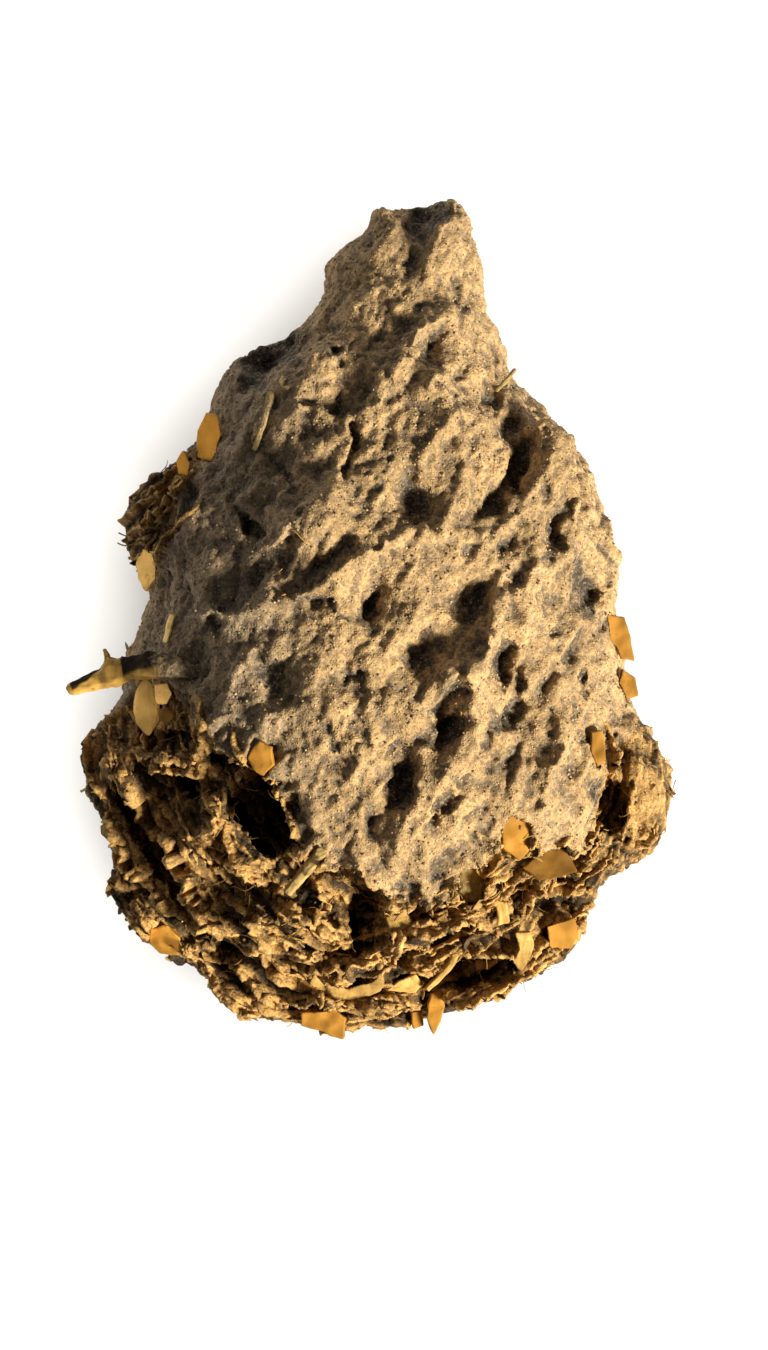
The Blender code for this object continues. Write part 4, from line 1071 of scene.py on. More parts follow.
def sand_speckle_group():
    """Shader group: sand grains as cells of light and dark, with a height for each grain."""
    group = bpy.data.node_groups.new("sand_speckle", "ShaderNodeTree")
    face = group.interface
    face.new_socket("Vector", in_out="INPUT", socket_type="NodeSocketVector")
    face.new_socket("Grain Scale", in_out="INPUT", socket_type="NodeSocketFloat").default_value = 9000.0
    face.new_socket("Tone", in_out="OUTPUT", socket_type="NodeSocketFloat")
    face.new_socket("Height", in_out="OUTPUT", socket_type="NodeSocketFloat")
    t = Tree(group)
    inside, outside = t.add("NodeGroupInput"), t.add("NodeGroupOutput")
    cells = t.add("ShaderNodeTexVoronoi")
    t.put(cells, "Vector", inside.outputs["Vector"])
    t.put(cells, "Scale", inside.outputs["Grain Scale"])
    apart = t.add("ShaderNodeSeparateColor")
    t.put(apart, "Color", cells.outputs["Color"])
    bead = t.spread(cells.outputs["Distance"], 0.0, 0.75, 1.0, 0.0)
    shown = t.spread(apart.outputs["Green"], 0.2, 0.8)
    t.put(outside, "Tone", apart.outputs["Red"])
    t.put(outside, "Height", t.math("MULTIPLY", bead, shown))
    return group


def torn_leaves_group():
    """Shader group: torn leaves of dung as uneven cells, some bright and some dark, with a height for each."""
    group = bpy.data.node_groups.new("torn_leaves", "ShaderNodeTree")
    face = group.interface
    face.new_socket("Vector", in_out="INPUT", socket_type="NodeSocketVector")
    for name in ("Bright", "Dark", "Height"):
        face.new_socket(name, in_out="OUTPUT", socket_type="NodeSocketFloat")
    t = Tree(group)
    inside, outside = t.add("NodeGroupInput"), t.add("NodeGroupOutput")
    drift = t.add("ShaderNodeTexNoise")
    t.put(drift, "Vector", inside.outputs["Vector"])
    drift.inputs["Scale"].default_value = 1300.0
    moved = t.add("ShaderNodeMix", data_type="VECTOR")
    t.put(moved, 0, 0.0007)
    t.put(moved, 4, inside.outputs["Vector"])
    t.put(moved, 5, drift.outputs["Color"])
    cells = t.add("ShaderNodeTexVoronoi")
    t.put(cells, "Vector", moved.outputs[1])
    cells.inputs["Scale"].default_value = 1250.0
    apart = t.add("ShaderNodeSeparateColor")
    t.put(apart, "Color", cells.outputs["Color"])
    middle = t.spread(cells.outputs["Distance"], 0.3, 0.62, 1.0, 0.0)
    t.put(outside, "Bright", t.math("MULTIPLY", middle, t.spread(apart.outputs["Red"], 0.76, 0.8)))
    t.put(outside, "Dark", t.math("MULTIPLY", middle, t.spread(apart.outputs["Red"], 0.4, 0.35)))
    t.put(outside, "Height", t.math("MULTIPLY", middle, apart.outputs["Green"]))
    return group


def object_vector(t):
    return t.add("ShaderNodeTexCoord").outputs["Object"]


def new_material(name, roughness):
    material = bpy.data.materials.new(name)
    material.use_nodes = True
    t = Tree(material.node_tree)
    shader = material.node_tree.nodes["Principled BSDF"]
    shader.inputs["Roughness"].default_value = roughness
    shader.inputs["Specular IOR Level"].default_value = 0.25
    return material, t, shader


def bump(t, height, strength, distance, below=None):
    node = t.add("ShaderNodeBump")
    node.inputs["Strength"].default_value = strength
    node.inputs["Distance"].default_value = distance * MM
    t.put(node, "Height", height)
    if below is not None:
        t.put(node, "Normal", below)
    return node.outputs["Normal"]


def dung_material(colours):
    """Sandy crust with grey grit in its hollows, and the golden, layered inside where the mass is broken; painted shade
    darkens the creases, the hollows, the deep parts and the crust's left side, and painted highlights lighten the
    crests and rims of the broken face.
    """
    material, t, shader = new_material("dung_finish", 0.95)
    vector = object_vector(t)
    fine, broad, broken = (t.attribute(name) for name in ("fine_relief", "broad_relief", "broken"))
    depth, rim, pressed = t.attribute("depth"), t.attribute("rim"), t.attribute("hollow")
    speckle = t.add("ShaderNodeGroup", node_tree=bpy.data.node_groups["sand_speckle"])
    t.put(speckle, "Vector", vector)
    speckle.inputs["Grain Scale"].default_value = 7500.0
    tone, bead = speckle.outputs["Tone"], speckle.outputs["Height"]
    patches = t.spread(t.noise(vector, 260.0, 3.0), 0.35, 0.68)
    crust = t.mix(patches, rgba(colours.crust, 0.86), rgba(colours.crust, 1.15))
    # Painted shade with dust: the fine creases, where the fine relief is low, are mixed towards the dust colour.
    raised = t.spread(fine, -0.08, 0.05)
    crust = t.mix(raised, t.mix(0.45, crust, rgba(colours.dust)), crust)
    # Painted shade: the crust's left side, from about x = -1 mm to its full strength at x = -8 mm, which faces away
    # from the key light, is mixed towards the dust colour.
    across = t.add("ShaderNodeSeparateXYZ")
    t.put(across, "Vector", vector)
    crust = t.mix(t.spread(across.outputs["X"], -0.008, -0.001, 0.55, 0.0), crust, rgba(colours.dust))
    # Grit and painted shade: the grit and dust speckle is laid where the broad relief is low, where the point lies deep
    # below the smooth lump, and on the floors of the pits, cracks and troughs.
    hollow = t.math("MAXIMUM", t.spread(broad, 0.05, -0.35), t.spread(depth, 0.3, 1.0))
    hollow = t.math("MAXIMUM", hollow, t.math("MULTIPLY", pressed, t.spread(t.noise(vector, 1500.0, 3.0), 0.2, 0.45)))
    grit_and_shade = t.mix(t.spread(tone, 0.5, 1.0, 0.0, 0.8), rgba(colours.grit, 0.75), rgba(colours.dust))
    crust = t.mix(hollow, crust, grit_and_shade)
    # Painted shade: the floors of the deep pits go nearly black.
    crust = t.mix(t.math("MULTIPLY", pressed, t.spread(depth, 0.9, 2.0)), crust, rgba(colours.humus_and_shade, 0.3))
    inside_tone = t.spread(t.noise(vector, 520.0, 4.0, 0.6), 0.36, 0.76)
    inside = t.mix(inside_tone, rgba(colours.humus_and_shade), rgba(colours.broken, 0.45))
    leaf = t.add("ShaderNodeGroup", node_tree=bpy.data.node_groups["torn_leaves"])
    t.put(leaf, "Vector", vector)
    inside = t.mix(t.math("MULTIPLY", leaf.outputs["Dark"], 0.7), inside, rgba(colours.humus_and_shade, 0.7))
    inside = t.mix(t.math("MULTIPLY", leaf.outputs["Bright"], 0.75), inside, rgba(colours.broken, 1.1))
    # Golden flecks, and a painted highlight: the crests of the fine relief get the full golden colour.
    flecks = t.math("MULTIPLY", t.spread(t.noise(vector, 2600.0, 4.0, 0.65), 0.52, 0.64), 0.5)
    crest = t.math("MAXIMUM", flecks, t.spread(fine, 0.03, 0.13))
    inside = t.mix(t.math("MULTIPLY", crest, t.spread(fine, -0.14, 0.03)), inside, rgba(colours.broken))
    # Painted shade: where the broken face lies low in the broad relief or deep below the smooth lump, and in the pits
    # and the gaps beside the torn layers, it goes nearly black, except on the rims.
    sunk = t.math("MAXIMUM", t.spread(broad, -0.05, -0.5), t.spread(depth, 1.8, 3.6))
    sunk = t.math("MAXIMUM", sunk, t.math("MULTIPLY", pressed, 0.9))
    inside = t.mix(t.math("MULTIPLY", sunk, t.math("SUBTRACT", 1.0, rim)), inside, rgba(colours.humus_and_shade, 0.35))
    # The torn edges' golden fibre, raised to a painted highlight: the rims get the golden colour at 1.3 times its
    # strength.
    golden = t.math("MULTIPLY", rim, t.spread(t.noise(vector, 1400.0, 3.0), 0.3, 0.6, 0.35, 1.0))
    inside = t.mix(golden, inside, rgba(colours.broken, 1.3))
    surface = t.mix(broken, crust, inside)
    edge = t.math("MULTIPLY", t.math("MULTIPLY", broken, t.math("SUBTRACT", 1.0, broken)), 2.8)
    surface = t.mix(edge, surface, rgba(colours.broken))
    grains = t.spread(tone, 0.0, 1.0, 0.72, 1.24)
    surface = t.mix(1.0, surface, grains, "MULTIPLY")
    t.put(shader, "Base Color", surface)
    grit = t.noise(vector, 4200.0, 3.0, 0.7)
    normal = bump(t, grit, 0.65, 0.14)
    shreds = t.math("MULTIPLY", t.noise(vector, 1900.0, 5.0, 0.7), broken)
    normal = bump(t, shreds, 0.7, 0.3, normal)
    normal = bump(t, t.math("MULTIPLY", leaf.outputs["Height"], broken), 0.8, 0.16, normal)
    t.put(shader, "Normal", bump(t, bead, 0.6, 0.07, normal))
    return material


def plant_material(name, colour, gloss, dark=0.35, streaks=1.0):
    """Dry plant matter: colour that drifts along the bit, fine streaks, charred parts and dust that clings."""
    material, t, shader = new_material(name, 1.0 - gloss)
    shader.inputs["Specular IOR Level"].default_value = 0.03
    vector = object_vector(t)
    tone, char, dust = t.attribute("tone"), t.attribute("char"), t.attribute("dust")
    drift = t.spread(t.noise(vector, 650.0, 3.0), 0.3, 0.72)
    base = t.mix(drift, rgba(colour, 0.65), rgba(colour, 1.15))
    spots = t.spread(t.noise(vector, 2600.0, 2.0, 0.6), 0.55, 0.75)
    base = t.mix(t.math("MULTIPLY", spots, 0.6), base, rgba(colour, dark))
    # The tone scales the colour: the high tones of the bits on the shaded left are painted light.
    base = t.mix(1.0, base, t.spread(tone, 0.0, 1.0, 0.4, 1.35), "MULTIPLY")
    base = t.mix(char, base, t.mix(drift, (0.012, 0.01, 0.009, 1), (0.05, 0.034, 0.02, 1)))
    grit = t.spread(t.noise(vector, 3400.0, 3.0, 0.7), 0.35, 0.65)
    cling = t.spread(t.math("ADD", dust, t.math("MULTIPLY", grit, 0.3)), 0.3, 0.85)
    base = t.mix(cling, base, t.mix(grit, (0.10, 0.08, 0.06, 1), (0.36, 0.26, 0.14, 1)))
    t.put(shader, "Base Color", base)
    matt = t.math("MAXIMUM", t.spread(cling, 0.0, 0.6), t.spread(char, 0.0, 0.6))
    t.put(shader, "Roughness", t.spread(matt, 0.0, 1.0, 1.0 - gloss, 0.95))
    streak = t.add("ShaderNodeMapping")
    streak.inputs["Scale"].default_value = (1.0, 0.22, 1.0)
    t.put(streak, "Vector", vector)
    lines = t.noise(streak.outputs[0], 7000.0, 3.0, 0.6)
    rough = bump(t, t.math("MULTIPLY", grit, cling), 0.7, 0.1)
    t.put(shader, "Normal", bump(t, lines, 0.5 * streaks, 0.06, rough))
    return material


def chaff_material():
    """Bits of husk from dark brown to pale gold, each of one tone."""
    material, t, shader = new_material("chaff_finish", 0.6)
    ramp = t.add("ShaderNodeValToRGB")
    stops = ramp.color_ramp.elements
    stops[0].position, stops[0].color = 0.0, (0.07, 0.04, 0.018, 1)
    stops[1].position, stops[1].color = 1.0, (0.52, 0.34, 0.13, 1)
    for place, colour in ((0.4, (0.20, 0.115, 0.04, 1)), (0.75, (0.38, 0.215, 0.055, 1))):
        stops.new(place).color = colour
    t.put(ramp, "Fac", t.attribute("tone"))
    vary = t.spread(t.noise(object_vector(t), 3000.0, 2.0), 0.3, 0.7, 0.6, 1.15)
    t.put(shader, "Base Color", t.mix(1.0, ramp.outputs["Color"], vary, "MULTIPLY"))
    return material


def grain_material():
    """Quartz, rust and dark grains of sand, each of one tone."""
    material, t, shader = new_material("sand_grains", 0.95)
    tone = t.attribute("tone")
    ramp = t.add("ShaderNodeValToRGB")
    stops = ramp.color_ramp.elements
    stops[0].position, stops[0].color = 0.0, (0.17, 0.13, 0.085, 1)
    stops[1].position, stops[1].color = 1.0, (0.50, 0.38, 0.24, 1)
    for place, colour in ((0.35, (0.27, 0.185, 0.10, 1)), (0.6, (0.38, 0.26, 0.13, 1)), (0.85, (0.45, 0.31, 0.16, 1))):
        stops.new(place).color = colour
    t.put(ramp, "Fac", tone)
    vary = t.spread(t.noise(object_vector(t), 9000.0, 1.0), 0.3, 0.7, 0.8, 1.15)
    t.put(shader, "Base Color", t.mix(1.0, ramp.outputs["Color"], vary, "MULTIPLY"))
    return material


def floor_material():
    material, t, shader = new_material("pale_floor", 0.9)
    patches = t.spread(t.noise(object_vector(t), 60.0, 2.0), 0.3, 0.7, 0.97, 1.0)
    t.put(shader, "Base Color", t.mix(1.0, (0.86, 0.86, 0.85, 1), patches, "MULTIPLY"))
    return material


def finish_materials(colours):
    """All the part's materials by name, made on first use."""
    if "dung_finish" not in bpy.data.materials:
        sand_speckle_group()
        torn_leaves_group()
        dung_material(colours)
        plant_material("pale_husk_finish", colours.husk, 0.4)
        plant_material("amber_husk_finish", colours.amber, 0.5, dark=0.6, streaks=0.12)
        plant_material("straw_finish", tuple(0.5 * (a + b) for a, b in zip(colours.husk, (0.48, 0.38, 0.17))), 0.3)
        plant_material("twig_finish", (0.62, 0.36, 0.085), 0.45, dark=0.3)
        chaff_material()
        plant_material("fibre_finish", tuple(0.85 * c for c in colours.husk), 0.25)
        grain_material()
    return bpy.data.materials


BIT_FINISH = {
    "charred_twig": "twig_finish",
    "pale_husk": "pale_husk_finish",
    "amber_husk": "amber_husk_finish",
    "straw": "straw_finish",
}


# How bright each plant bit is, and how much dust clings to it; the bits on the shaded left are given high tones, mostly
# 1.0, which is painted light
BIT_TONE_AND_DUST = {
    "twig_stub": (0.6, 0.0), "seed_husk": (0.7, 0.0), "husk_bit": (1.0, 0.1), "husk_flake": (0.45, 0.1),
    "lip_chip": (0.7, 0.05), "cavity_stalk": (0.4, 0.0), "crust_straw": (0.6, 0.45), "side_straw": (1.0, 0.0),
    "neck_straw": (0.4, 0.1), "curled_strip": (0.6, 0.0), "amber_flake_upper": (0.75, 0.0),
    "amber_flake_lower": (0.2, 0.0), "bright_chip": (0.6, 0.0), "olive_chip": (0.2, 0.1),
    "pale_chip": (0.6, 0.1), "standing_chip": (0.5, 0.05), "corner_block": (0.6, 0.0),
    "curved_peel": (0.5, 0.15), "base_plate": (0.6, 0.0), "base_spike": (0.85, 0.0), "spike_chip": (0.6, 0.05),
    "base_flap": (0.6, 0.1), "rim_scale": (1.0, 0.0), "left_strip": (1.0, 0.0), "left_chip": (1.0, 0.0),
    "left_plate": (1.0, 0.05), "right_husk_upper": (0.55, 0.05), "right_husk_lower": (0.5, 0.05),
    "right_sliver": (0.5, 0.05),
}
# How far some bits on the shaded left are raised to catch the light
BIT_LIFTS = {"seed_husk": 0.35, "husk_bit": 0.3, "lip_chip": 0.3, "cavity_stalk": 0.4, "left_strip": 0.2,
             "left_chip": 0.2, "rim_scale": 0.3, "side_straw": 0.1}
# How thick the straws look beside their CAD solids, and how far they lie deeper
STRAW_SHARES = {"crust_straw": (0.62, 0.1), "side_straw": (0.6, 0.1), "neck_straw": (0.55, 0.0),
                "curled_strip": (0.75, 0.0), "cavity_stalk": (0.95, 0.0)}
# The twig along X: x, share of the CAD thickness, how far it is sunk, and the level of the char's lower border
TWIG_FORM = (
    (-17.2, 0.9, 0.0, 0.6), (-16.9, 1.0, 0.0, -0.1), (-16.0, 1.05, 0.0, 0.0), (-15.2, 1.15, 0.0, 0.25),
    (-14.9, 1.2, 0.0, 0.9), (-14.2, 1.15, 0.0, 0.9), (-13.9, 1.1, 0.0, -0.35), (-12.9, 1.1, 0.0, -0.25),
    (-11.8, 1.1, 0.05, 0.0), (-11.0, 0.95, 0.3, 0.2), (-10.0, 0.7, 0.8, 0.2), (-9.0, 0.4, 1.2, 0.2),
)
SPUR = ((-14.55, -2.7), (-15.0, -1.75), 0.26)  # the broken side shoot on the twig's node: root, tip, radius


def middle_line(points):
    """For each point, the nearest place on the middle line of the stalk that they belong to, and the line's way."""
    middle = points.mean(axis=0)
    way = np.linalg.svd(points - middle, full_matrices=False)[2][0]
    along = (points - middle) @ way
    knots = np.linspace(along.min(), along.max(), 12)
    half = 0.75 * (knots[1] - knots[0])
    centres = np.array([points[np.abs(along - knot) < half].mean(axis=0) for knot in knots])
    return np.stack([np.interp(along, knots, centres[:, k]) for k in range(3)], axis=1), way


def thinned(points, share):
    """The stalk's points drawn in towards its middle line."""
    line, way = middle_line(points)
    radial = points - line
    radial -= (radial @ way)[:, None] * way
    return points - (1.0 - np.asarray(share)).reshape(-1, 1) * radial


def add_spur(obj):
    """Adds the side shoot to the twig, at the twig's own height."""
    points = read_points(obj.data)
    (x, y), (tip_x, tip_y), radius = SPUR
    near = np.abs(points[:, 0] - x) < 0.6
    level = 0.5 * (points[near, 2].min() + points[near, 2].max())
    root, tip = Vector((x, y, level)), Vector((tip_x, tip_y, level + 0.1))
    turn = (tip - root).to_track_quat("Z", "Y").to_matrix().to_4x4()
    bm = bmesh.new()
    bm.from_mesh(obj.data)
    matrix = Matrix.Scale(MM, 4) @ Matrix.Translation((root + tip) / 2) @ turn
    bmesh.ops.create_cone(bm, cap_ends=True, segments=10, radius1=radius, radius2=0.35 * radius,
                          depth=(tip - root).length, matrix=matrix)
    bm.to_mesh(obj.data)
    bm.free()


def twig_form(points):
    """The twig's finished points, with its char and dust."""
    xs, shares, sinks, borders = np.array(TWIG_FORM).T
    x = points[:, 0]
    spur = smoothstep(-2.5, -2.2, points[:, 1]) * smoothstep(0.9, 0.6, np.abs(x + 14.8))
    line, _ = middle_line(points)
    above = points[:, 1] - line[:, 1] + 0.25 * noise_at(points, 0.7, 3.0)
    char = smoothstep(-0.12, 0.12, above - np.interp(x, xs, borders)) * (1 - spur)
    node = np.exp(-(((x + 14.5 + 0.3 * (points[:, 1] + 3.0)) / 0.28) ** 2))
    dust = smoothstep(-13.0, -11.2, x)
    share = np.interp(x, xs, shares) + 0.1 * node
    moved = thinned(points, np.where(spur > 0.5, 1.0, share))
    moved[:, 2] -= np.interp(x, xs, sinks)
    return moved, char * (1 - node), 0.75 * dust


def build_bit(node, slot, materials, number):
    """A plant bit's finished form: its CAD solid with worn edges, curled and lined with fibres."""
    bit = merged_copy(node, node + "_finish")
    if node == "twig_stub":
        add_spur(bit)
    voxel = 0.07 if node == "twig_stub" else 0.05
    remesh(bit, voxel * (1.0))
    relax(bit, 0.5, 3 if node in STRAW_SHARES or node in ("twig_stub", "seed_husk") else 1)
    points, normals = read_points(bit.data), read_normals(bit.data)
    long_axis = np.linalg.svd(points - points.mean(axis=0), full_matrices=False)[2][0]
    along = (points - points.mean(axis=0)) @ long_axis
    drawn = points - 0.8 * along[:, None] * long_axis
    lines = 0.01 if slot == "amber_husk" else 0.035
    rise = lines * noise_at(drawn, 0.16, number) + 0.05 * noise_at(points, 0.55, number + 3.0) + 0.02
    tone, dust = BIT_TONE_AND_DUST[node]
    char = np.zeros(len(points))
    dust = dust + (0.1 if slot == "amber_husk" else 0.25) * noise_at(points, 0.6, 60.0)
    moved = points + normals * rise[:, None]
    if node not in STRAW_SHARES:
        moved += warped(points, 0.7, 0.1, 40.0 + number) - points
    if node == "twig_stub":
        moved, char, dust = twig_form(moved)
    if node in STRAW_SHARES:
        share, deeper = STRAW_SHARES[node]
        moved = thinned(moved, share) - [0, 0, deeper]
    moved[:, 2] += BIT_LIFTS.get(node, 0.0)
    write_points(bit.data, moved)
    store(bit.data, "tone", tone + 0.2 * noise_at(points, 0.9, number + 9.0))
    store(bit.data, "char", char)
    store(bit.data, "dust", np.clip(dust, 0.0, 1.0))
    shade_smooth(bit)
    bit.data.materials.clear()
    bit.data.materials.append(materials[BIT_FINISH[slot]])
    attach(bit, BODY)
    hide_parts(node)
    return bit


def seed_mesh(name, build):
    """A small template for a scatter, kept out of the scene."""
    bm = bmesh.new()
    build(bm)
    bmesh.ops.recalc_face_normals(bm, faces=bm.faces)
    bmesh.ops.transform(bm, verts=bm.verts, matrix=Matrix.Scale(MM, 4))
    mesh = bpy.data.meshes.new(name)
    bm.to_mesh(mesh)
    bm.free()
    mesh.polygons.foreach_set("use_smooth", [name != "flake"] * len(mesh.polygons))
    return bpy.data.objects.new(name, mesh)


def grain_template(seed):
    def build(bm):
        bmesh.ops.create_icosphere(bm, subdivisions=1, radius=0.5)
        for vert in bm.verts:
            vert.co *= 1.0 + 0.45 * noise.noise(vert.co * 2.0 + Vector((seed, 0, 0)))
    return build


def crumb_template(seed):
    def build(bm):
        bmesh.ops.create_icosphere(bm, subdivisions=2, radius=0.5)
        for vert in bm.verts:
            vert.co *= 1.0 + 0.6 * noise.noise(vert.co * 2.2 + Vector((seed, 4, 0)))
            vert.co.z *= 0.75
    return build


def flake_template(seed):
    """A husk flake with a ragged outline, curled along its length, one unit long."""
    def build(bm):
        draw = random.Random(seed)
        corners = 7
        outline = []
        for k in range(corners):
            angle = 2 * math.pi * (k + draw.uniform(-0.3, 0.3)) / corners
            reach = draw.uniform(0.65, 1.15)
            outline.append((0.5 * reach * math.cos(angle), 0.24 * reach * math.sin(angle)))
        for side, level in ((1, 0.035), (-1, -0.035)):
            centre = bm.verts.new((0, 0, level))
            rim = [bm.verts.new((x, y, level * 0.6 + 0.5 * x * x + 0.9 * y * y)) for x, y in outline]
            for k in range(corners):
                bm.faces.new((centre, rim[k], rim[(k + 1) % corners])[::side])
            if side == 1:
                top = rim
        for k in range(corners):
            bm.faces.new((top[k], rim[k], rim[(k + 1) % corners], top[(k + 1) % corners]))
    return build


def fibre_template(seed):
    """A thin bent fibre, one unit long, with five sides."""
    def build(bm):
        draw = random.Random(seed)
        bend, wave = draw.uniform(-0.35, 0.35), draw.uniform(-0.15, 0.15)
        rings = []
        for k in range(7):
            t = k / 6
            centre = Vector((t - 0.5, bend * (t - t * t), wave * math.sin(5 * t) + 0.25 * t * t))
            radius = 0.026 * (1.0 - 0.6 * t)
            ring = [
                bm.verts.new(centre + Vector((0, radius * math.cos(a), radius * math.sin(a))))
                for a in (2 * math.pi * j / 5 for j in range(5))
            ]
            rings.append(ring)
        for one, two in zip(rings, rings[1:]):
            for j in range(5):
                bm.faces.new((one[j], two[j], two[(j + 1) % 5], one[(j + 1) % 5]))
        bm.faces.new(rings[0][::-1])
        bm.faces.new(rings[-1])
    return build


def scatter_tree(name, collection, material):
    """Geometry Nodes: strews the collection's templates over a surface where its mask is high."""
    tree = bpy.data.node_groups.new(name, "GeometryNodeTree")
    face = tree.interface
    face.new_socket("Geometry", in_out="INPUT", socket_type="NodeSocketGeometry")
    for socket, value in (("Density", 1e6), ("Least Scale", 0.1), ("Most Scale", 0.3), ("Tilt", 0.4), ("Sink", 0.0)):
        face.new_socket(socket, in_out="INPUT", socket_type="NodeSocketFloat").default_value = value
    face.new_socket("Seed", in_out="INPUT", socket_type="NodeSocketInt").default_value = 1
    face.new_socket("Geometry", in_out="OUTPUT", socket_type="NodeSocketGeometry")
    t = Tree(tree)
    inside, outside = t.add("NodeGroupInput"), t.add("NodeGroupOutput")
    mask = t.add("GeometryNodeInputNamedAttribute", data_type="FLOAT")
    mask.inputs["Name"].default_value = "scatter"
    points = t.add("GeometryNodeDistributePointsOnFaces", distribute_method="RANDOM")
    t.put(points, "Mesh", inside.outputs["Geometry"])
    t.put(points, "Density", t.math("MULTIPLY", mask.outputs["Attribute"], inside.outputs["Density"]))
    t.put(points, "Seed", inside.outputs["Seed"])
    tilt = t.add("FunctionNodeRandomValue", data_type="FLOAT_VECTOR")
    low, high = t.add("ShaderNodeCombineXYZ"), t.add("ShaderNodeCombineXYZ")
    for socket in ("X", "Y"):
        t.put(low, socket, t.math("MULTIPLY", inside.outputs["Tilt"], -1.0))
        t.put(high, socket, inside.outputs["Tilt"])
    t.put(low, "Z", -math.pi)
    t.put(high, "Z", math.pi)
    t.put(tilt, 0, low.outputs[0])
    t.put(tilt, 1, high.outputs[0])
    t.put(tilt, "Seed", inside.outputs["Seed"])
    turn = t.add("FunctionNodeRotateRotation", rotation_space="LOCAL")
    t.put(turn, "Rotation", points.outputs["Rotation"])
    euler = t.add("FunctionNodeEulerToRotation")
    t.put(euler, "Euler", tilt.outputs[0])
    t.put(turn, "Rotate By", euler.outputs[0])
    size = t.add("FunctionNodeRandomValue", data_type="FLOAT")
    t.put(size, 2, inside.outputs["Least Scale"])
    t.put(size, 3, inside.outputs["Most Scale"])
    t.put(size, "Seed", t.math("ADD", inside.outputs["Seed"], 7))
    kinds = t.add("GeometryNodeCollectionInfo")
    kinds.inputs["Collection"].default_value = collection
    kinds.inputs["Separate Children"].default_value = True
    kinds.inputs["Reset Children"].default_value = True
    strewn = t.add("GeometryNodeInstanceOnPoints")
    strewn.inputs["Pick Instance"].default_value = True
    for socket, output in (("Points", points.outputs["Points"]), ("Instance", kinds.outputs[0]),
                           ("Rotation", turn.outputs[0]), ("Scale", size.outputs[1])):
        t.put(strewn, socket, output)
    sink = t.add("GeometryNodeTranslateInstances")
    depth = t.add("ShaderNodeCombineXYZ")
    t.put(depth, "Z", inside.outputs["Sink"])
    t.put(sink, "Instances", strewn.outputs[0])
    t.put(sink, "Translation", depth.outputs[0])
    tone = t.add("FunctionNodeRandomValue", data_type="FLOAT")
    t.put(tone, "Seed", t.math("ADD", inside.outputs["Seed"], 13))
    keep = t.add("GeometryNodeStoreNamedAttribute", data_type="FLOAT", domain="INSTANCE")
    keep.inputs["Name"].default_value = "tone"
    t.put(keep, "Geometry", sink.outputs[0])
    t.put(keep, "Value", tone.outputs[1])
    solid = t.add("GeometryNodeRealizeInstances")
    t.put(solid, "Geometry", keep.outputs[0])
    painted = t.add("GeometryNodeSetMaterial")
    painted.inputs["Material"].default_value = material
    t.put(painted, "Geometry", solid.outputs[0])
    t.put(outside, "Geometry", painted.outputs[0])
    return tree


def scatter(name, surface, mask, templates, material, count, scales, tilt, sink, seed):
    """Strews about count templates over the surface, thickest where the mask is high, as one plain mesh."""
    collection = bpy.data.collections.new(name + "_kinds")
    for template in templates:
        collection.objects.link(template)
    host = bpy.data.objects.new(name, surface.data.copy())
    bpy.context.scene.collection.objects.link(host)
    store(host.data, "scatter", mask)
    areas = np.empty(len(host.data.polygons))
    host.data.polygons.foreach_get("area", areas)
    first = np.empty(len(host.data.polygons), dtype=np.int64)
    host.data.polygons.foreach_get("loop_start", first)
    corner = np.empty(len(host.data.loops), dtype=np.int64)
    host.data.loops.foreach_get("vertex_index", corner)
    weighted = float(np.sum(areas * np.asarray(mask)[corner[first]]))
    tree = scatter_tree(name, collection, material)
    modifier = host.modifiers.new("strew", "NODES")
    modifier.node_group = tree
    sockets = {s.name: s.identifier for s in tree.interface.items_tree if s.in_out == "INPUT"}
    given = {
        "Density": count / max(weighted, 1e-12),
        "Least Scale": scales[0],
        "Most Scale": scales[1],
        "Tilt": tilt,
        "Sink": sink * MM,
        "Seed": seed,
    }
    for socket, value in given.items():
        modifier[sockets[socket]] = value
    apply_modifiers(host)
    for template in templates:
        bpy.data.objects.remove(template)
    bpy.data.collections.remove(collection)
    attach(host, BODY)
    return host


def mask_values(mesh, name):
    values = np.empty(len(mesh.vertices), dtype=np.float32)
    mesh.attributes[name].data.foreach_get("value", values)
    return values


class COPROLITE_OT_mass(Operator):
    """Build the crusted and broken surface of the dung mass"""

    bl_idname = "coprolite.mass"
    bl_label = "Dung mass"

    def execute(self, context):
        materials = finish_materials(context.scene.coprolite_colours)
        mass = build_mass(context.scene.coprolite_sizes)
        mass.data.materials.clear()
        mass.data.materials.append(materials["dung_finish"])
        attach(mass, BODY)
        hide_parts("dung_mass")
        return {"FINISHED"}


class COPROLITE_OT_layers(Operator):
    """Build the torn layers that jut out of the broken face"""

    bl_idname = "coprolite.layers"
    bl_label = "Torn layers"

    def execute(self, context):
        materials = finish_materials(context.scene.coprolite_colours)
        layers = build_layers(bpy.data.objects["dung_surface"], context.scene.coprolite_sizes)
        layers.data.materials.clear()
        layers.data.materials.append(materials["dung_finish"])
        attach(layers, BODY)
        return {"FINISHED"}


class COPROLITE_OT_bits(Operator):
    """Build the bedded twig, husks, stalks, straws and flakes"""

    bl_idname = "coprolite.bits"
    bl_label = "Plant bits"

    def execute(self, context):
        materials = finish_materials(context.scene.coprolite_colours)
        slots = {entry["node"]: entry["material_slot"] for entry in frame["record"]["subparts"]}
        for number, (node, slot) in enumerate(sorted(slots.items())):
            if node != "dung_mass":
                build_bit(node, slot, materials, number)
        return {"FINISHED"}


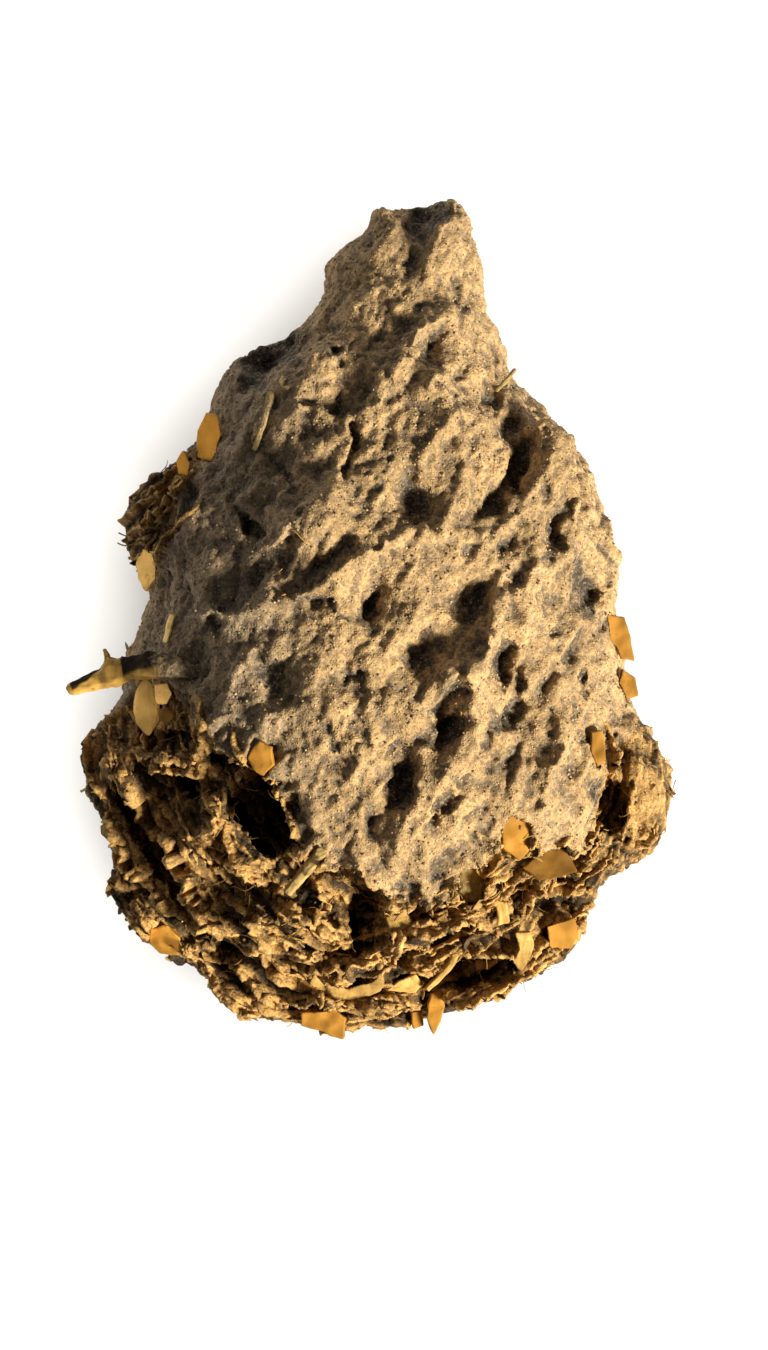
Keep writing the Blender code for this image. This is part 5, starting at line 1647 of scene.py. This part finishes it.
class COPROLITE_OT_scatter(Operator):
    """Strew sand grains, crumbs, husk flakes and fibres over the mass"""

    bl_idname = "coprolite.scatter"
    bl_label = "Grains and fibres"

    def execute(self, context):
        sizes = context.scene.coprolite_sizes
        materials = finish_materials(context.scene.coprolite_colours)
        surface = bpy.data.objects["dung_surface"]
        broken = mask_values(surface.data, "broken")
        broad = mask_values(surface.data, "broad_relief")
        normals = read_normals(surface.data)
        height = read_points(surface.data)[:, 2]
        front = 0.25 + 0.75 * smoothstep(-0.2, 0.3, normals[:, 2])
        front *= smoothstep(1.0, 3.0, height)
        share = 1.0
        grains = [seed_mesh("grain", grain_template(k)) for k in range(4)]
        crumbs = [seed_mesh("crumb", crumb_template(k)) for k in range(4)]
        flakes = [seed_mesh("flake", flake_template(k)) for k in range(5)]
        fibres = [seed_mesh("fibre", fibre_template(k)) for k in range(6)]
        sandy = (1 - 0.8 * broken) * (1 - 0.85 * mask_values(surface.data, "hollow"))
        scatter("sand_grains", surface, front * sandy, grains, materials["sand_grains"],
                sizes.grains * share, (0.08, 0.2), 1.5, 0.0, 3)
        strewn = scatter("dung_crumbs", surface, front * broken, crumbs, materials["dung_finish"],
                         sizes.crumbs * share, (0.12, 0.4), 0.8, 0.0, 4)
        tone = mask_values(strewn.data, "tone")
        store(strewn.data, "broken", np.ones(len(tone)))
        store(strewn.data, "rim", 0.5 * smoothstep(0.4, 1.0, tone))
        scatter("chaff_flakes", surface, front * (broken + 0.01) * (0.3 + smoothstep(-0.3, 0.1, broad)), flakes,
                materials["chaff_finish"], sizes.chaff * share, (0.3, 1.1), 1.0, 0.02, 5)
        scatter("plant_fibres", surface, front * (broken + 0.015), fibres, materials["fibre_finish"],
                sizes.fibres * share, (0.5, 1.9), 0.45, 0.03, 6)
        return {"FINISHED"}


class COPROLITE_OT_stage(Operator):
    """Set the pale floor, the soft light and the camera that looks down on the part"""

    bl_idname = "coprolite.stage"
    bl_label = "Stage"

    def execute(self, context):
        bpy.ops.mesh.primitive_plane_add(size=2.0, location=(0, 0, 0))
        floor = context.active_object
        floor.name = "floor"
        floor.data.materials.append(floor_material())
        floor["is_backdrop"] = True
        part = bpy.data.collections.new("part")
        ground = bpy.data.collections.new("ground")
        ground.objects.link(floor)
        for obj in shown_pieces():
            part.objects.link(obj)
        key = add_light("key", KEY_WAY, 0.42, 0.08, KEY_POWER, (1.0, 0.94, 0.80))
        key.light_linking.receiver_collection = part
        add_light("fill", (-0.6, 0.35, 0.75), 0.6, 0.5, FILL_POWER, (0.98, 0.98, 1.0)).light_linking.receiver_collection = part
        shaded = bpy.data.collections.new("shaded_bits")
        for node in SHADED_BITS:
            shaded.objects.link(bpy.data.objects[node + "_finish"])
        add_light("glow", (-0.3, -0.1, 0.95), 0.4, 0.2, GLOW_POWER, (1.0, 0.93, 0.8)).light_linking.receiver_collection = shaded
        add_light("overhead", (0.1, -0.05, 1.0), 0.9, 0.9, FLOOR_POWER, (1.0, 0.99, 0.97)).light_linking.receiver_collection = ground
        world = bpy.data.worlds.new("studio")
        world.use_nodes = True
        world.node_tree.nodes["Background"].inputs["Color"].default_value = (0.97, 0.98, 1.0, 1)
        world.node_tree.nodes["Background"].inputs["Strength"].default_value = WORLD_STRENGTH
        context.scene.world = world
        context.scene.view_settings.view_transform = "Standard"
        add_camera(context)
        return {"FINISHED"}


KEY_WAY = (0.70, -0.46, 0.58)  # the way to the key light, from the part's middle
KEY_POWER = 4.8
FILL_POWER = 0.36
FLOOR_POWER = 20.0
GLOW_POWER = 0.9
SHADED_BITS = ("seed_husk", "husk_bit", "lip_chip", "left_strip", "left_chip", "left_plate", "side_straw", "rim_scale")
WORLD_STRENGTH = 0.06


def add_light(name, way, distance, size, power, colour):
    light = bpy.data.lights.new(name, "AREA")
    light.size = size
    light.energy = power
    light.color = colour
    lamp = bpy.data.objects.new(name, light)
    way = Vector(way).normalized()
    lamp.location = Vector((0, 0, OUTLINE_LEVEL * MM)) + way * distance
    lamp.rotation_euler = way.to_track_quat("Z", "Y").to_euler()
    bpy.context.scene.collection.objects.link(lamp)
    return lamp


PHOTO_HEIGHT_PX = 1350
PX_PER_MM = 17.5
FRAME_CENTRE = (0.63, -3.2)  # the point of the outline's plane in the middle of the picture
LENS = 135.0
SENSOR = 36.0


def add_camera(context):
    camera = bpy.data.cameras.new("camera")
    camera.lens = LENS
    camera.sensor_width = SENSOR
    view_height = PHOTO_HEIGHT_PX / PX_PER_MM
    distance = view_height * LENS / SENSOR
    eye = bpy.data.objects.new("camera", camera)
    eye.location = (FRAME_CENTRE[0] * MM, FRAME_CENTRE[1] * MM, (OUTLINE_LEVEL + distance) * MM)
    bpy.context.scene.collection.objects.link(eye)
    camera.clip_start = 0.01
    context.scene.camera = eye


class COPROLITE_PT_panel(Panel):
    """Lists the steps that finish the coprolite"""

    bl_label = "Coprolite"
    bl_idname = "COPROLITE_PT_panel"
    bl_space_type = "VIEW_3D"
    bl_region_type = "UI"
    bl_category = "Coprolite"

    def draw(self, context):
        for group in (context.scene.coprolite_sizes, context.scene.coprolite_colours):
            for name in group.bl_rna.properties.keys():
                if name not in ("rna_type", "name"):
                    self.layout.prop(group, name)
        for step in STEPS:
            self.layout.operator(step.bl_idname)


STEPS = (COPROLITE_OT_mass, COPROLITE_OT_layers, COPROLITE_OT_bits, COPROLITE_OT_scatter, COPROLITE_OT_stage)
CLASSES = (CoproliteSizes, CoproliteColours, *STEPS, COPROLITE_PT_panel)


def register():
    for cls in CLASSES:
        bpy.utils.register_class(cls)
    bpy.types.Scene.coprolite_sizes = PointerProperty(type=CoproliteSizes)
    bpy.types.Scene.coprolite_colours = PointerProperty(type=CoproliteColours)


def unregister():
    del bpy.types.Scene.coprolite_colours
    del bpy.types.Scene.coprolite_sizes
    for cls in reversed(CLASSES):
        bpy.utils.unregister_class(cls)


def main():
    register()
    bpy.ops.coprolite.mass()
    bpy.ops.coprolite.layers()
    bpy.ops.coprolite.bits()
    bpy.ops.coprolite.scatter()
    bpy.ops.coprolite.stage()


if __name__ == "__main__":
    main()
